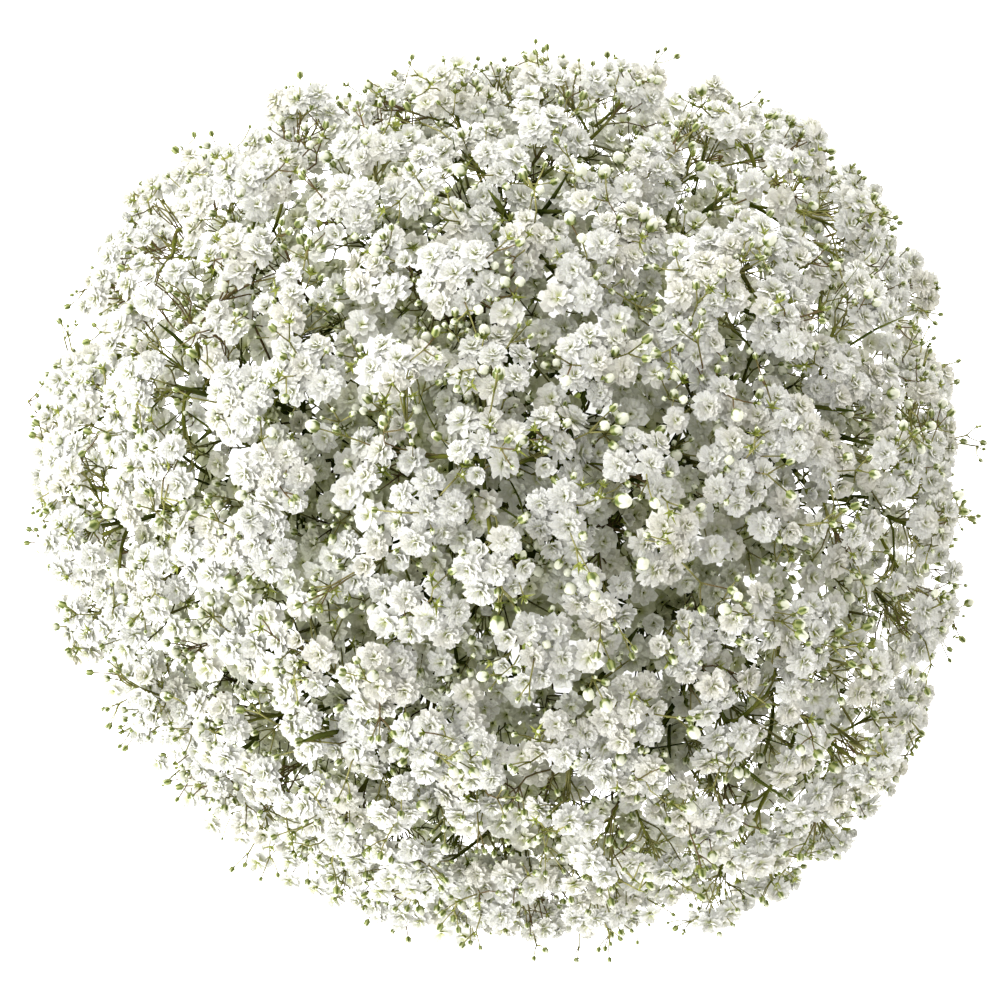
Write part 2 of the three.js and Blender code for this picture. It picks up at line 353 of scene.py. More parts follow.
@dataclass
class Fork:
    """A place where a shoot can fork off its parent: on the frame's coarse line and on the curve."""

    centre: Vector
    tangent: Vector
    parent: Shoot
    share: float
    taken: bool = False


@dataclass
class Spray:
    """One stem with the part of the head that it carries."""

    ring: StemRing
    name: str
    reach: float
    turn: float
    axis: Vector
    walls: list[Vector] = field(default_factory=list)
    flowers: list[Flower] = field(default_factory=list)
    shoots: list[Shoot] = field(default_factory=list)

    @property
    def heading(self) -> Vector:
        """The stem's lean at the waist."""
        return direction(self.ring.lean, self.turn)

    @property
    def bound(self) -> Vector:
        """Where the stem passes through the waist."""
        return HEAD.bind + direction(90, self.turn - 90) * self.ring.bind_radius

    @property
    def foot(self) -> Vector:
        """The middle of the stem's level cut end."""
        return self.bound - self.heading * (self.bound.z / self.heading.z)


@dataclass
class Skeleton:
    """The frame's sprays with their flowers and shoots, from the same sizes and draws."""

    seed: int = SKELETON_SEED
    sprays: list[Spray] = field(default_factory=list)

    def grow(self) -> list[Spray]:
        """Lays every spray, its flowers and its shoots.

        Returns:
            The sprays, in the frame's order.
        """
        self.lay_sprays()
        self.lay_flowers()
        for spray in self.sprays:
            self.spread_flowers(spray)
            self.grow_shoots(spray)
        return self.sprays

    def lay_sprays(self) -> None:
        """Makes the sprays and the walls between their cones."""
        for ring in STEM_RINGS:
            for i, reach in enumerate(ring.reaches):
                turn = ring.first_turn + 360 * i / len(ring.reaches)
                name = f"stem_{ring.name}_{i + 1}"
                self.sprays.append(Spray(ring, name, reach, turn, direction(ring.aim, turn)))
        for spray in self.sprays:
            others = [other for other in self.sprays if other is not spray]
            spray.walls = [(spray.axis - other.axis).normalized() for other in others]

    def lay_flowers(self) -> None:
        """Gives every spray its flowers, evenly over each layer."""
        draws = Draws(self.seed)
        for layer in FLOWER_LAYERS:
            depth = 1 - math.cos(math.radians(layer.edge_angle))
            for i in range(layer.count):
                from_up = math.degrees(math.acos(1 - depth * (i + 0.5) / layer.count))
                out = direction(from_up, layer.first_turn + GOLDEN_TURN * i)
                centre = HEAD.scaled(out, layer.share)
                facing = (HEAD.unscaled(out).normalized() + draws.vector() * FACING_SPREAD).normalized()
                aimed = (centre - HEAD.bind).normalized()
                spray = max(self.sprays, key=lambda other: other.axis.dot(aimed))
                share = layer.share * spray.reach * (1 + DEPTH_SPREAD * draws.next())
                spray.flowers.append(Flower(layer, share, centre, facing))

    def settle(self, flower: Flower, spray: Spray) -> None:
        """Moves a flower onto its layer and then clear of its spray's walls.

        Args:
            flower: The flower, whose centre changes.
            spray: The spray that it is on.
        """
        offset = flower.centre - HEAD.centre
        flower.centre = HEAD.centre + offset * (flower.share / HEAD.unscaled(offset).length)
        for wall in spray.walls:
            room = (flower.centre - HEAD.bind).dot(wall) - FLOWER_RADIUS - SPRAY_CLEARANCE
            if room < 0:
                flower.centre = flower.centre - wall * room

    def spread_flowers(self, spray: Spray) -> None:
        """Spreads a spray's flowers evenly inside its cone.

        Args:
            spray: The spray, whose flowers move.
        """
        for _ in range(SPACING_ROUNDS):
            for flower in spray.flowers:
                for other in spray.flowers:
                    if other is flower:
                        continue
                    apart = flower.centre - other.centre
                    beside = other.layer is flower.layer
                    if not beside:
                        apart -= spray.axis * apart.dot(spray.axis)
                    crowding = (FLOWER_SPACING if beside else LAYER_SPACING) - apart.length
                    if crowding > 0:
                        flower.centre = flower.centre + apart.normalized() * (crowding / 2)
            for flower in spray.flowers:
                self.settle(flower, spray)

    def cymes(self, flowers: list[Flower], sideways: Vector, upward: Vector) -> list[list[Flower]]:
        """Splits flowers into small groups of near neighbours, each to share one branch.

        Args:
            flowers: The flowers.
            sideways: The spray's direction round the head.
            upward: The spray's direction up the head.

        Returns:
            The groups.
        """
        if len(flowers) <= CYME_SIZE:
            return [flowers]

        def extent(way: Vector) -> float:
            """How far the flowers spread in a direction."""
            places = [flower.centre.dot(way) for flower in flowers]
            return max(places) - min(places)

        way = sideways if extent(sideways) > extent(upward) else upward
        ordered = sorted(flowers, key=lambda flower: flower.centre.dot(way))
        half = math.ceil(len(ordered) / 2)
        return self.cymes(ordered[:half], sideways, upward) + self.cymes(ordered[half:], sideways, upward)

    def leader(self, flowers: list[Flower], aim: Vector) -> Flower:
        """The flower that a group's branch runs on to: an outermost one, nearest to a direction.

        Args:
            flowers: The group.
            aim: The direction, from the waist.

        Returns:
            The flower.
        """
        outermost = max(flower.layer.share for flower in flowers)
        able = [flower for flower in flowers if flower.layer.share == outermost]
        return max(able, key=lambda flower: (flower.centre - HEAD.bind).normalized().dot(aim))

    def forks(self, shoot: Shoot, steps: int, bare: int) -> list[Fork]:
        """The places along a shoot where others can fork off.

        Args:
            shoot: The parent.
            steps: The straight runs that the frame draws it in.
            bare: How many of them, from its root, carry nothing.

        Returns:
            The places, from the root up.
        """
        joints = [shoot.point(i / steps) for i in range(steps + 1)]
        places = []
        for i in range(bare, steps):
            run = joints[i + 1] - joints[i]
            count = max(1, math.floor(run.length / FORK_SPACING))
            for k in range(count):
                along = (k + 0.5) / count
                places.append(Fork(joints[i] + run * along, run.normalized(), shoot, (i + along) / steps))
        return places[:-1]

    def forked_shoot(self, flower: Flower, forks: list[Fork], grade: Grade) -> Shoot:
        """Grows a shoot to a flower from the free place that suits it best.

        Args:
            flower: Where it goes. The flower turns partly away from the fork.
            forks: The places that it can spring from.
            grade: How stout it is.

        Returns:
            The shoot.
        """

        def cost(fork: Fork) -> float:
            """How far a place is from the best fork: at the right angle, and close by."""
            away = flower.centre - fork.centre
            return abs(away.angle(fork.tangent) - math.radians(FORK_ANGLE)) + FORK_LENGTH_COST * away.length

        root = min((fork for fork in forks if not fork.taken), key=cost)
        root.taken = True
        root.parent.nodes.append(root.share)
        away = (flower.centre - root.centre).normalized()
        flower.facing = (flower.facing + away * FACING_AWAY).normalized()
        heading = (root.tangent + away).normalized()
        start = root.parent.point(root.share)
        flower.shoot = Shoot(start, heading, flower.neck, flower.facing, grade)
        return flower.shoot

    def grow_shoots(self, spray: Spray) -> None:
        """Grows a spray's stem, its branches and the pedicels of its flowers.

        Args:
            spray: The spray, which gets its shoots.
        """
        sideways = UP.cross(direction(90, spray.turn))
        upward = spray.axis.cross(sideways)
        crown = self.leader(spray.flowers, spray.axis)
        crown.shoot = Shoot(spray.bound, spray.heading, crown.neck, crown.facing, Grade.STEM)
        stem_forks = self.forks(crown.shoot, STEM_STEPS, BARE_STEPS)
        spray.shoots = [crown.shoot]
        for cyme in self.cymes(spray.flowers, sideways, upward):
            forks, leader = stem_forks, crown
            if not any(flower is crown for flower in cyme):
                middle = sum((flower.centre for flower in cyme), Vector()) / len(cyme)
                leader = self.leader(cyme, (middle - HEAD.bind).normalized())
                branch = self.forked_shoot(leader, stem_forks, Grade.BRANCH)
                spray.shoots.append(branch)
                forks = stem_forks + self.forks(branch, BRANCH_STEPS, 1)
            for flower in cyme:
                if flower is not leader:
                    spray.shoots.append(self.forked_shoot(flower, forks, Grade.TWIG))


# ---- Finishes ----


WHITE: Colour = (1, 1, 1, 1)


class Nodes:
    """A short way to write a material's nodes."""

    def __init__(self, name: str) -> None:
        """Starts an empty material.

        Args:
            name: The material's name.
        """
        self.material = bpy.data.materials.new(name)
        self.material.use_nodes = True
        self.tree = self.material.node_tree
        self.tree.nodes.clear()

    def add(self, kind: str, inputs: dict | None = None, **settings: object) -> bpy.types.Node:
        """Adds a node.

        Args:
            kind: The node's type, without its ShaderNode prefix.
            inputs: What goes into its sockets, by name or number: a value, or a socket to link.
            settings: The node's own settings.

        Returns:
            The node.
        """
        node = self.tree.nodes.new(f"ShaderNode{kind}")
        for name, value in settings.items():
            setattr(node, name, value)
        for name, value in (inputs or {}).items():
            if isinstance(value, Socket):
                self.tree.links.new(value, node.inputs[name])
            else:
                node.inputs[name].default_value = value
        return node

    def place(self) -> Socket:
        """The place on the piece, in metres."""
        return self.add("TexCoord").outputs["Object"]

    def attribute(self, name: str) -> Socket:
        """A number that the mesh carries."""
        return self.add("Attribute", attribute_name=name).outputs["Fac"]

    def vector(self, operation: str, first: object, second: object = (0, 0, 0)) -> bpy.types.Node:
        """Vector arithmetic."""
        return self.add("VectorMath", {0: first, 1: second}, operation=operation)

    def number(self, operation: str, *inputs: object) -> Socket:
        """Arithmetic on numbers."""
        return self.add("Math", dict(enumerate(inputs)), operation=operation).outputs[0]

    def noise(self, size: float, detail: float) -> Socket:
        """Noise whose blotches are about a size in millimetres across."""
        inputs = {"Vector": self.place(), "Scale": 1 / (size * MM), "Detail": detail}
        return self.add("TexNoise", inputs).outputs["Fac"]

    def ramp(self, share: Socket, low: float, high: float) -> Socket:
        """A number taken from low and high to 0 and 1."""
        inputs = {"Value": share, "From Min": low, "From Max": high}
        return self.add("MapRange", inputs, interpolation_type="SMOOTHSTEP").outputs["Result"]

    def mix(self, share: object, first: object, second: object) -> Socket:
        """A colour between two others."""
        inputs = {"Factor": share, 6: first, 7: second}
        return self.add("Mix", inputs, data_type="RGBA").outputs[2]

    def multiply(self, first: object, second: object) -> Socket:
        """Two colours multiplied."""
        inputs = {"Factor": 1.0, 6: first, 7: second}
        return self.add("Mix", inputs, data_type="RGBA", blend_type="MULTIPLY").outputs[2]

    def painted_depth_shade(self, deep: Colour, fade: Range) -> Socket:
        """A painted shade to multiply by: a dark colour far inside the ball of flowers, which fades to
        white towards its outside.

        Args:
            deep: The colour of the painted shade far inside the ball.
            fade: The shares of the ball's size where it starts to fade and where it has gone.

        Returns:
            The colour.
        """
        offset = self.vector("SUBTRACT", self.place(), HEAD.centre * MM).outputs[0]
        flipped = self.vector("MULTIPLY", offset, (1, 1, -HEAD.flatness)).outputs[0]
        above = self.vector("MAXIMUM", offset, flipped).outputs[0]
        size = Vector((HEAD.radius, HEAD.radius, HEAD.rise)) * MM
        share = self.vector("DIVIDE", above, size).outputs[0]
        length = self.vector("LENGTH", share).outputs["Value"]
        # painted shade: a dark colour far inside the head, fading to white towards its outside
        return self.mix(self.ramp(length, *fade), deep, WHITE)

    def bump(self, height: Socket, strength: float, distance: float) -> Socket:
        """A bumped normal, whose relief is a distance in millimetres."""
        inputs = {"Height": height, "Strength": strength, "Distance": distance * MM}
        return self.add("Bump", inputs).outputs["Normal"]

    def skin(self, colour: object, roughness: float, shine: float, normal: Socket) -> Socket:
        """The plant's surface.

        Args:
            colour: Its base colour.
            roughness: How rough it is.
            shine: How strongly it reflects, from 0 to 1.
            normal: Its bumped normal.

        Returns:
            The shader.
        """
        inputs = {"Base Color": colour, "Roughness": roughness, "Normal": normal}
        inputs["Specular IOR Level"] = shine
        return self.add("BsdfPrincipled", inputs).outputs[0]

    def finish(self, shader: Socket) -> bpy.types.Material:
        """Sends a shader to the output, and gives back the finished material."""
        self.add("OutputMaterial", {"Surface": shader})
        return self.material


@dataclass(frozen=True)
class PetalFinish:
    """Thin white petals in fine folds, creamy green at the root, that let some light through.

    Petals far inside the head, where little light reaches, are painted darker and greener as shade, and the
    low parts of their folds are painted darker as shade too.
    """

    name: str = "petal"
    tip: Colour = (0.89, 0.89, 0.86, 1)
    root: Colour = (0.66, 0.69, 0.36, 1)
    greening: Range = (0.0, 0.55)
    aged: Colour = (0.875, 0.855, 0.78, 1)
    ageing: Range = (0.45, 0.75)
    # painted shade: a darker colour in the low parts of the petals' folds and crinkles
    crease_shade: Colour = (0.825, 0.825, 0.745, 1)
    crease_shading: Range = (0.15, 0.5)
    glow: Colour = (0.89, 0.885, 0.82, 1)
    # painted shade: the colour that petals far inside the head are multiplied by, fading out between the
    # shares of fade
    deep: Colour = (0.55, 0.57, 0.37, 1)
    fade: Range = (0.62, 0.93)
    crinkle: float = 0.8
    patch: float = 14.0
    folds: float = 9.5
    fold_depth: float = 0.2
    relief: float = 0.32
    firmness: float = 0.6
    see_through: float = 0.12
    roughness: float = 0.55

    def material(self) -> bpy.types.Material:
        """Builds the material.

        Returns:
            The material.
        """
        n = Nodes(self.name)
        crinkle = n.noise(self.crinkle, 1)
        white = n.mix(n.ramp(n.noise(self.patch, 0), *self.ageing), self.tip, self.aged)
        fold = n.number("SINE", n.number("MULTIPLY_ADD", n.attribute(RIB), self.folds, crinkle))
        relief = n.number("MULTIPLY_ADD", fold, self.fold_depth, crinkle)
        # painted shade: the low parts of the folds and crinkles are darkened
        with_crease_shade = n.mix(n.ramp(relief, *self.crease_shading), self.crease_shade, white)
        # painted shade: petals far inside the head, and the light through them, are darkened and greened
        painted_shade_factor = n.painted_depth_shade(self.deep, self.fade)
        colour = n.multiply(n.mix(n.ramp(n.attribute(RUN), *self.greening), self.root, with_crease_shade), painted_shade_factor)
        normal = n.bump(relief, self.firmness, self.relief)
        front = n.skin(colour, self.roughness, 0.0, normal)
        back = n.add("BsdfTranslucent", {"Color": n.multiply(self.glow, painted_shade_factor), "Normal": normal}).outputs[0]
        return n.finish(n.add("MixShader", {0: self.see_through, 1: front, 2: back}).outputs[0])


@dataclass(frozen=True)
class GreenFinish:
    """Fresh green tissue, mottled, with a share of it turned brown. Far inside the head it is painted
    darker, as shade.
    """

    name: str
    dark: Colour
    light: Colour
    # painted shade: the colour that greens far inside the head are multiplied by
    deep: Colour = (0.24, 0.26, 0.20, 1)
    fade: Range = (0.72, 0.94)
    mottling: Range = (0.35, 0.65)
    brown: Colour = (0.135, 0.095, 0.045, 1)
    browning: float = 0.68
    brown_edge: float = 0.12
    brown_size: float = 2.7
    roughness: float = 0.5
    blotch: float = 9.0
    grain: float = 0.6
    firmness: float = 0.35
    relief: float = 0.06

    def material(self) -> bpy.types.Material:
        """Builds the material.

        Returns:
            The material.
        """
        n = Nodes(self.name)
        green = n.mix(n.ramp(n.noise(self.blotch, 1), *self.mottling), self.dark, self.light)
        patches = n.noise(self.blotch * self.brown_size, 1)
        brown = n.ramp(patches, self.browning, self.browning + self.brown_edge)
        # painted shade: greens far inside the head are darkened
        green_with_painted_shade = n.multiply(n.mix(brown, green, self.brown), n.painted_depth_shade(self.deep, self.fade))
        normal = n.bump(n.noise(self.grain, 1), self.firmness, self.relief)
        return n.finish(n.skin(green_with_painted_shade, self.roughness, 0.0, normal))


@dataclass(frozen=True)
class BudFinish:
    """A bud's ribbed green calyx below, and its closed petals above, cream at the top and darker green
    lower down: partly their own green near the calyx, partly painted shade on the bud's sides.

    The calyx ends in teeth, one up each rib, whose height is a share of the bud's.
    """

    name: str = "bud"
    rib: Colour = (0.085, 0.12, 0.015, 1)
    between: Colour = (0.34, 0.375, 0.13, 1)
    ribbing: Range = (0.15, 0.85)
    tip: Colour = (0.78, 0.79, 0.64, 1)
    # partly the petals' own green near the calyx and partly painted shade on the bud's sides
    low_green_and_shade: Colour = (0.48, 0.53, 0.25, 1)
    low_greening_and_shading: Range = (0.45, 1.0)
    tooth: float = 0.3
    calyx_edge: Range = (0.5, 0.7)
    grain: float = 0.7
    firmness: float = 0.6
    relief: float = 0.2
    roughness: float = 0.45
    shine: float = 0.25

    def material(self) -> bpy.types.Material:
        """Builds the material.

        Returns:
            The material.
        """
        n = Nodes(self.name)
        rib, run = n.attribute(RIB), n.attribute(RUN)
        calyx = n.mix(n.ramp(rib, *self.ribbing), self.between, self.rib)
        # darker green lower on the petals: partly their own colour, partly painted shade
        petals = n.mix(n.ramp(run, *self.low_greening_and_shading), self.low_green_and_shade, self.tip)
        teeth = n.number("MULTIPLY_ADD", rib, -self.tooth, run)
        colour = n.mix(n.ramp(teeth, *self.calyx_edge), calyx, petals)
        normal = n.bump(n.noise(self.grain, 1), self.firmness, self.relief)
        return n.finish(n.skin(colour, self.roughness, self.shine, normal))


@dataclass(frozen=True)
class TwineFinish:
    """Jute fibre, lighter and darker along the ply, with a rough nap."""

    name: str = "jute"
    dark: Colour = (0.24, 0.155, 0.07, 1)
    light: Colour = (0.50, 0.37, 0.20, 1)
    mottle: float = 0.9
    mottling: Range = (0.3, 0.7)
    nap: float = 0.35
    firmness: float = 0.8
    relief: float = 0.15
    roughness: float = 0.9
    sheen: float = 0.3

    def material(self) -> bpy.types.Material:
        """Builds the material.

        Returns:
            The material.
        """
        n = Nodes(self.name)
        colour = n.mix(n.ramp(n.noise(self.mottle, 5), *self.mottling), self.dark, self.light)
        normal = n.bump(n.noise(self.nap, 4), self.firmness, self.relief)
        skin = {"Base Color": colour, "Roughness": self.roughness, "Normal": normal}
        skin["Sheen Weight"] = self.sheen
        return n.finish(n.add("BsdfPrincipled", skin).outputs[0])


@dataclass(frozen=True)
class FloorFinish:
    """A plain white studio floor that glows as a light from within, with a painted shadow under the bunch
    where it barely glows.
    """

    name: str = "floor"
    colour: Colour = (0.9, 0.9, 0.9, 1)
    roughness: float = 0.8
    glow: float = 1.5
    # painted shadow: the faint glow under the bunch, and the radii over which it fades back to full glow
    painted_shadow_glow: float = 0.05
    painted_shadow_radius: float = 85.0
    painted_shadow_edge: float = 125.0

    def material(self) -> bpy.types.Material:
        """Builds the material.

        Returns:
            The material.
        """
        n = Nodes(self.name)
        out = n.vector("LENGTH", n.place()).outputs["Value"]
        # painted shadow: the glow fades to almost nothing under the bunch
        clear = n.ramp(out, self.painted_shadow_radius * MM, self.painted_shadow_edge * MM)
        glow = n.number("MULTIPLY_ADD", clear, self.glow - self.painted_shadow_glow, self.painted_shadow_glow)
        skin = {
            "Base Color": self.colour,
            "Roughness": self.roughness,
            "Emission Color": WHITE,
            "Emission Strength": glow,
        }
        return n.finish(n.add("BsdfPrincipled", skin).outputs[0])


class Plant(Enum):
    """The finishes of the plant's own tissues."""

    PETAL = PetalFinish()
    BUD = BudFinish()
    STEM = GreenFinish(
        "stem", (0.095, 0.12, 0.024, 1), (0.155, 0.185, 0.045, 1),
        roughness=0.42, blotch=16.0,
    )
    BRANCH = GreenFinish("branch", (0.07, 0.085, 0.01, 1), (0.24, 0.25, 0.05, 1), browning=0.62)
    PEDICEL = GreenFinish("pedicel", (0.12, 0.115, 0.035, 1), (0.34, 0.325, 0.12, 1), browning=0.53)
    BRACT = GreenFinish(
        "bract", (0.09, 0.11, 0.015, 1), (0.32, 0.35, 0.08, 1),
        browning=0.72, blotch=4.0,
    )
    LEAF = GreenFinish(
        "leaf", (0.045, 0.06, 0.01, 1), (0.14, 0.16, 0.035, 1),
        # the third colour is the painted shade for leaves far inside the head
        (0.18, 0.2, 0.15, 1), browning=0.8,
    )
    PITH = GreenFinish("pith", (0.42, 0.45, 0.26, 1), (0.60, 0.62, 0.42, 1), blotch=0.8)

    def __init__(self, finish: object) -> None:
        """Keeps the finish."""
        self.finish = finish


class Palette:
    """The plant's materials, each built once."""

    def __init__(self) -> None:
        """Builds them all."""
        self.made = {kind: kind.finish.material() for kind in Plant}

    def apply(self, mesh: bpy.types.Mesh, kinds: tuple[Plant, ...]) -> None:
        """Gives a mesh its materials, in the order of its slots."""
        for kind in kinds:
            mesh.materials.append(self.made[kind])


# ---- Patterns: the small shapes that are made once and stamped many times ----


def marked_bmesh() -> BMesh:
    """A new bmesh with the attributes that the finishes read.

    Returns:
        The bmesh.
    """
    bm = bmesh.new()
    bm.verts.layers.float.new(RUN)
    bm.verts.layers.float.new(RIB)
    return bm


def new_pattern(name: str, bm: BMesh) -> bpy.types.Mesh:
    """Turns a bmesh into a mesh to stamp.

    Args:
        name: The mesh's name.
        bm: The shape, which is freed.

    Returns:
        The mesh.
    """
    mesh = bpy.data.meshes.new(name)
    bm.to_mesh(mesh)
    bm.free()
    return mesh


def stamp(bm: BMesh, pattern: bpy.types.Mesh, where: Matrix) -> None:
    """Adds a copy of a pattern to a bmesh.

    Args:
        bm: What it is added to.
        pattern: What is copied.
        where: The copy's transform.
    """
    copy = pattern.copy()
    copy.transform(where)
    bm.from_mesh(copy)
    bpy.data.meshes.remove(copy)


def put(name: str, data: bpy.types.ID) -> bpy.types.Object:
    """Puts a mesh, curve, lamp or camera into the scene.

    Args:
        name: The object's name.
        data: What it holds.

    Returns:
        The object, at the origin.
    """
    thing = bpy.data.objects.new(name, data)
    bpy.context.scene.collection.objects.link(thing)
    return thing


def faces_of(made: dict) -> list[BMFace]:
    """The faces round the vertices that a bmesh operator made."""
    return list({face for vert in made["verts"] for face in vert.link_faces})


def sharpen(face: BMFace) -> None:
    """Makes a face's edges sharp."""
    for edge in face.edges:
        edge.smooth = False


def face_outwards(bm: BMesh, faces: list[BMFace]) -> None:
    """Turns the faces of a closed shell outwards if they face inwards.

    Args:
        bm: What the shell is part of.
        faces: All of its faces.
    """
    foot = faces[0].verts[0].co
    volume = 0.0
    for face in faces:
        first, *others = [vert.co - foot for vert in face.verts]
        for second, third in zip(others, others[1:]):
            volume += first.dot(second.cross(third))
    if volume < 0:
        bmesh.ops.reverse_faces(bm, faces=faces)


@dataclass(frozen=True)
class Whorl:
    """One ring of petals round a flower's axis."""

    petals: int
    length: float
    half_width: float
    tilt: float
    root: float
    rise: float


@dataclass(frozen=True)
class BloomPattern:
    """A double flower: whorls of notched, wavy petals on a green calyx. Its origin is at their roots."""

    # A petal's root, sides and tip corners: how far along it they are, and their share of its width.
    OUTLINE = {0: (0.0, 0.0), 1: (0.6, 0.98), 2: (1.0, 0.6)}
    RIDGE = (0.68, 0.0)

    whorls: tuple[Whorl, ...]
    ruffle: float = 0.6
    curl: float = 0.13
    bow: float = 0.2
    thickness: float = 0.16
    greening: float = 0.3
    length_spread: Range = (0.9, 1.08)
    width_spread: Range = (0.85, 1.15)
    along_spread: Range = (0.9, 1.06)
    side_spread: Range = (0.8, 1.12)
    keel_spread: Range = (-0.8, 1)
    edge_spread: Range = (-0.8, 0.8)
    turn_spread: float = 12.0
    tilt_spread: float = 11.0
    roll_spread: float = 24.0
    calyx_depth: float = 2.2
    calyx_radius: float = 1.1
    calyx_foot: float = 0.4
    calyx_overlap: float = 0.3

    def mesh(self, name: str, chance: random.Random) -> bpy.types.Mesh:
        """Builds the flower.

        Args:
            name: The mesh's name.
            chance: The draws that vary its petals.

        Returns:
            The mesh to stamp.
        """
        bm = marked_bmesh()
        for level, whorl in enumerate(self.whorls):
            first = chance.random()
            for i in range(whorl.petals):
                turn = 360 * (i + first) / whorl.petals
                self.add_petal(bm, whorl, turn, level, chance)
        self.add_calyx(bm)
        return new_pattern(name, bm)

    def petal_pose(self, whorl: Whorl, turn: float, chance: random.Random) -> Matrix:
        """The transform that stands a petal in its ring.

        Args:
            whorl: The ring.
            turn: The petal's turn about the flower's axis.
            chance: The draws that vary it.

        Returns:
            The transform.
        """
        turned = math.radians(turn + chance.uniform(-self.turn_spread, self.turn_spread))
        tilted = math.radians(whorl.tilt + chance.uniform(-self.tilt_spread, self.tilt_spread))
        rolled = math.radians(chance.uniform(-self.roll_spread, self.roll_spread))
        return (
            Matrix.Rotation(turned, 4, "Z")
            @ Matrix.Translation((whorl.root, 0, whorl.rise))
            @ Matrix.Rotation(-tilted, 4, "Y")
            @ Matrix.Rotation(rolled, 4, "X")
        )

    def add_petal(self, bm: BMesh, whorl: Whorl, turn: float, level: int, chance: random.Random) -> None:
        """Adds a petal: a low cone with five corners, drawn out into a blade with a broad wavy tip.

        Args:
            bm: The flower so far.
            whorl: The ring that the petal is in.
            turn: The petal's turn about the flower's axis.
            level: The ring's place in the flower, from the lowest.
            chance: The draws that vary the petal.
        """
        run, rib = bm.verts.layers.float[RUN], bm.verts.layers.float[RIB]
        made = bmesh.ops.create_cone(bm, cap_ends=True, segments=5, radius1=1, radius2=0, depth=1)
        length = whorl.length * chance.uniform(*self.length_spread)
        half_width = whorl.half_width * chance.uniform(*self.width_spread)
        pose = self.petal_pose(whorl, turn, chance)
        inward = self.greening * level / len(self.whorls)
        keel = self.ruffle * chance.uniform(*self.keel_spread)
        for vert in made["verts"]:
            apex = vert.co.z > 0
            along, width = self.RIDGE if apex else self.OUTLINE[round(1 - vert.co.y)]
            along *= chance.uniform(*self.along_spread)
            side = math.copysign(width * half_width * chance.uniform(*self.side_spread), vert.co.x)
            wave = keel if apex else self.ruffle * chance.uniform(*self.edge_spread)
            bow = self.bow * side * side / half_width - self.curl * length * along * along
            vert[run] = max(along - inward, 0)
            vert[rib] = math.copysign(width, vert.co.x)
            rise = wave * along * along + bow + (self.thickness if apex else 0)
            vert.co = pose @ Vector((length * along, side, rise))
        faces = faces_of(made)
        face_outwards(bm, faces)
        for face in faces:
            face.smooth = True
            if len(face.verts) > 3:
                sharpen(face)

    def add_calyx(self, bm: BMesh) -> None:
        """Adds the narrow green cup under the petals.

        Args:
            bm: The flower so far.
        """
        made = bmesh.ops.create_cone(
            bm,
            cap_ends=True,
            segments=4,
            radius1=self.calyx_foot,
            radius2=self.calyx_radius,
            depth=self.calyx_depth,
            matrix=Matrix.Translation((0, 0, self.calyx_overlap - self.calyx_depth / 2)),
        )
        for face in faces_of(made):
            face.material_index = 1
            face.smooth = len(face.verts) == 4


OPEN_WHORLS = (
    Whorl(10, 4.3, 1.4, 3, 0.4, 0.0),
    Whorl(9, 4.0, 1.3, 17, 0.35, 0.4),
    Whorl(8, 3.55, 1.2, 33, 0.3, 0.8),
    Whorl(7, 3.0, 1.05, 50, 0.2, 1.1),
    Whorl(4, 2.5, 0.9, 70, 0.1, 1.3),
)
CUPPED_WHORLS = (
    Whorl(7, 3.4, 1.6, 36, 0.35, 0.0),
    Whorl(5, 3.0, 1.3, 56, 0.3, 0.4),
    Whorl(3, 2.5, 1.0, 76, 0.15, 0.7),
)
LOWER_WHORLS = (
    Whorl(7, 4.3, 1.9, 6, 0.35, 0.0),
    Whorl(6, 3.6, 1.6, 30, 0.3, 0.5),
    Whorl(4, 2.6, 1.2, 60, 0.15, 0.9),
)
DEEP_WHORLS = (
    Whorl(6, 4.4, 2.3, 6, 0.35, 0.0),
    Whorl(5, 3.2, 1.8, 40, 0.25, 0.5),
)
BALL_WHORLS = (
    Whorl(5, 2.9, 1.7, 62, 0.35, 0.0),
    Whorl(4, 2.6, 1.3, 78, 0.25, 0.3),
)


class Bloom(Enum):
    """How open a flower is, with the girth that it keeps clear and how many patterns it has."""

    OPEN = (BloomPattern(OPEN_WHORLS), 4.2, 6)
    CUPPED = (BloomPattern(CUPPED_WHORLS, ruffle=0.35, curl=0.0), 3.0, 3)
    LOWER = (BloomPattern(LOWER_WHORLS), 4.2, 3)
    DEEP = (BloomPattern(DEEP_WHORLS), 4.0, 3)
    BALL = (BloomPattern(BALL_WHORLS, ruffle=0.25, curl=-0.3, calyx_radius=1.4), 2.0, 3)

    def __init__(self, pattern: BloomPattern, girth: float, variants: int) -> None:
        """Names the parts of a stage.

        Args:
            pattern: The flower's shape.
            girth: The radius that it keeps clear.
            variants: How many patterns it has.
        """
        self.pattern = pattern
        self.girth = girth
        self.variants = variants


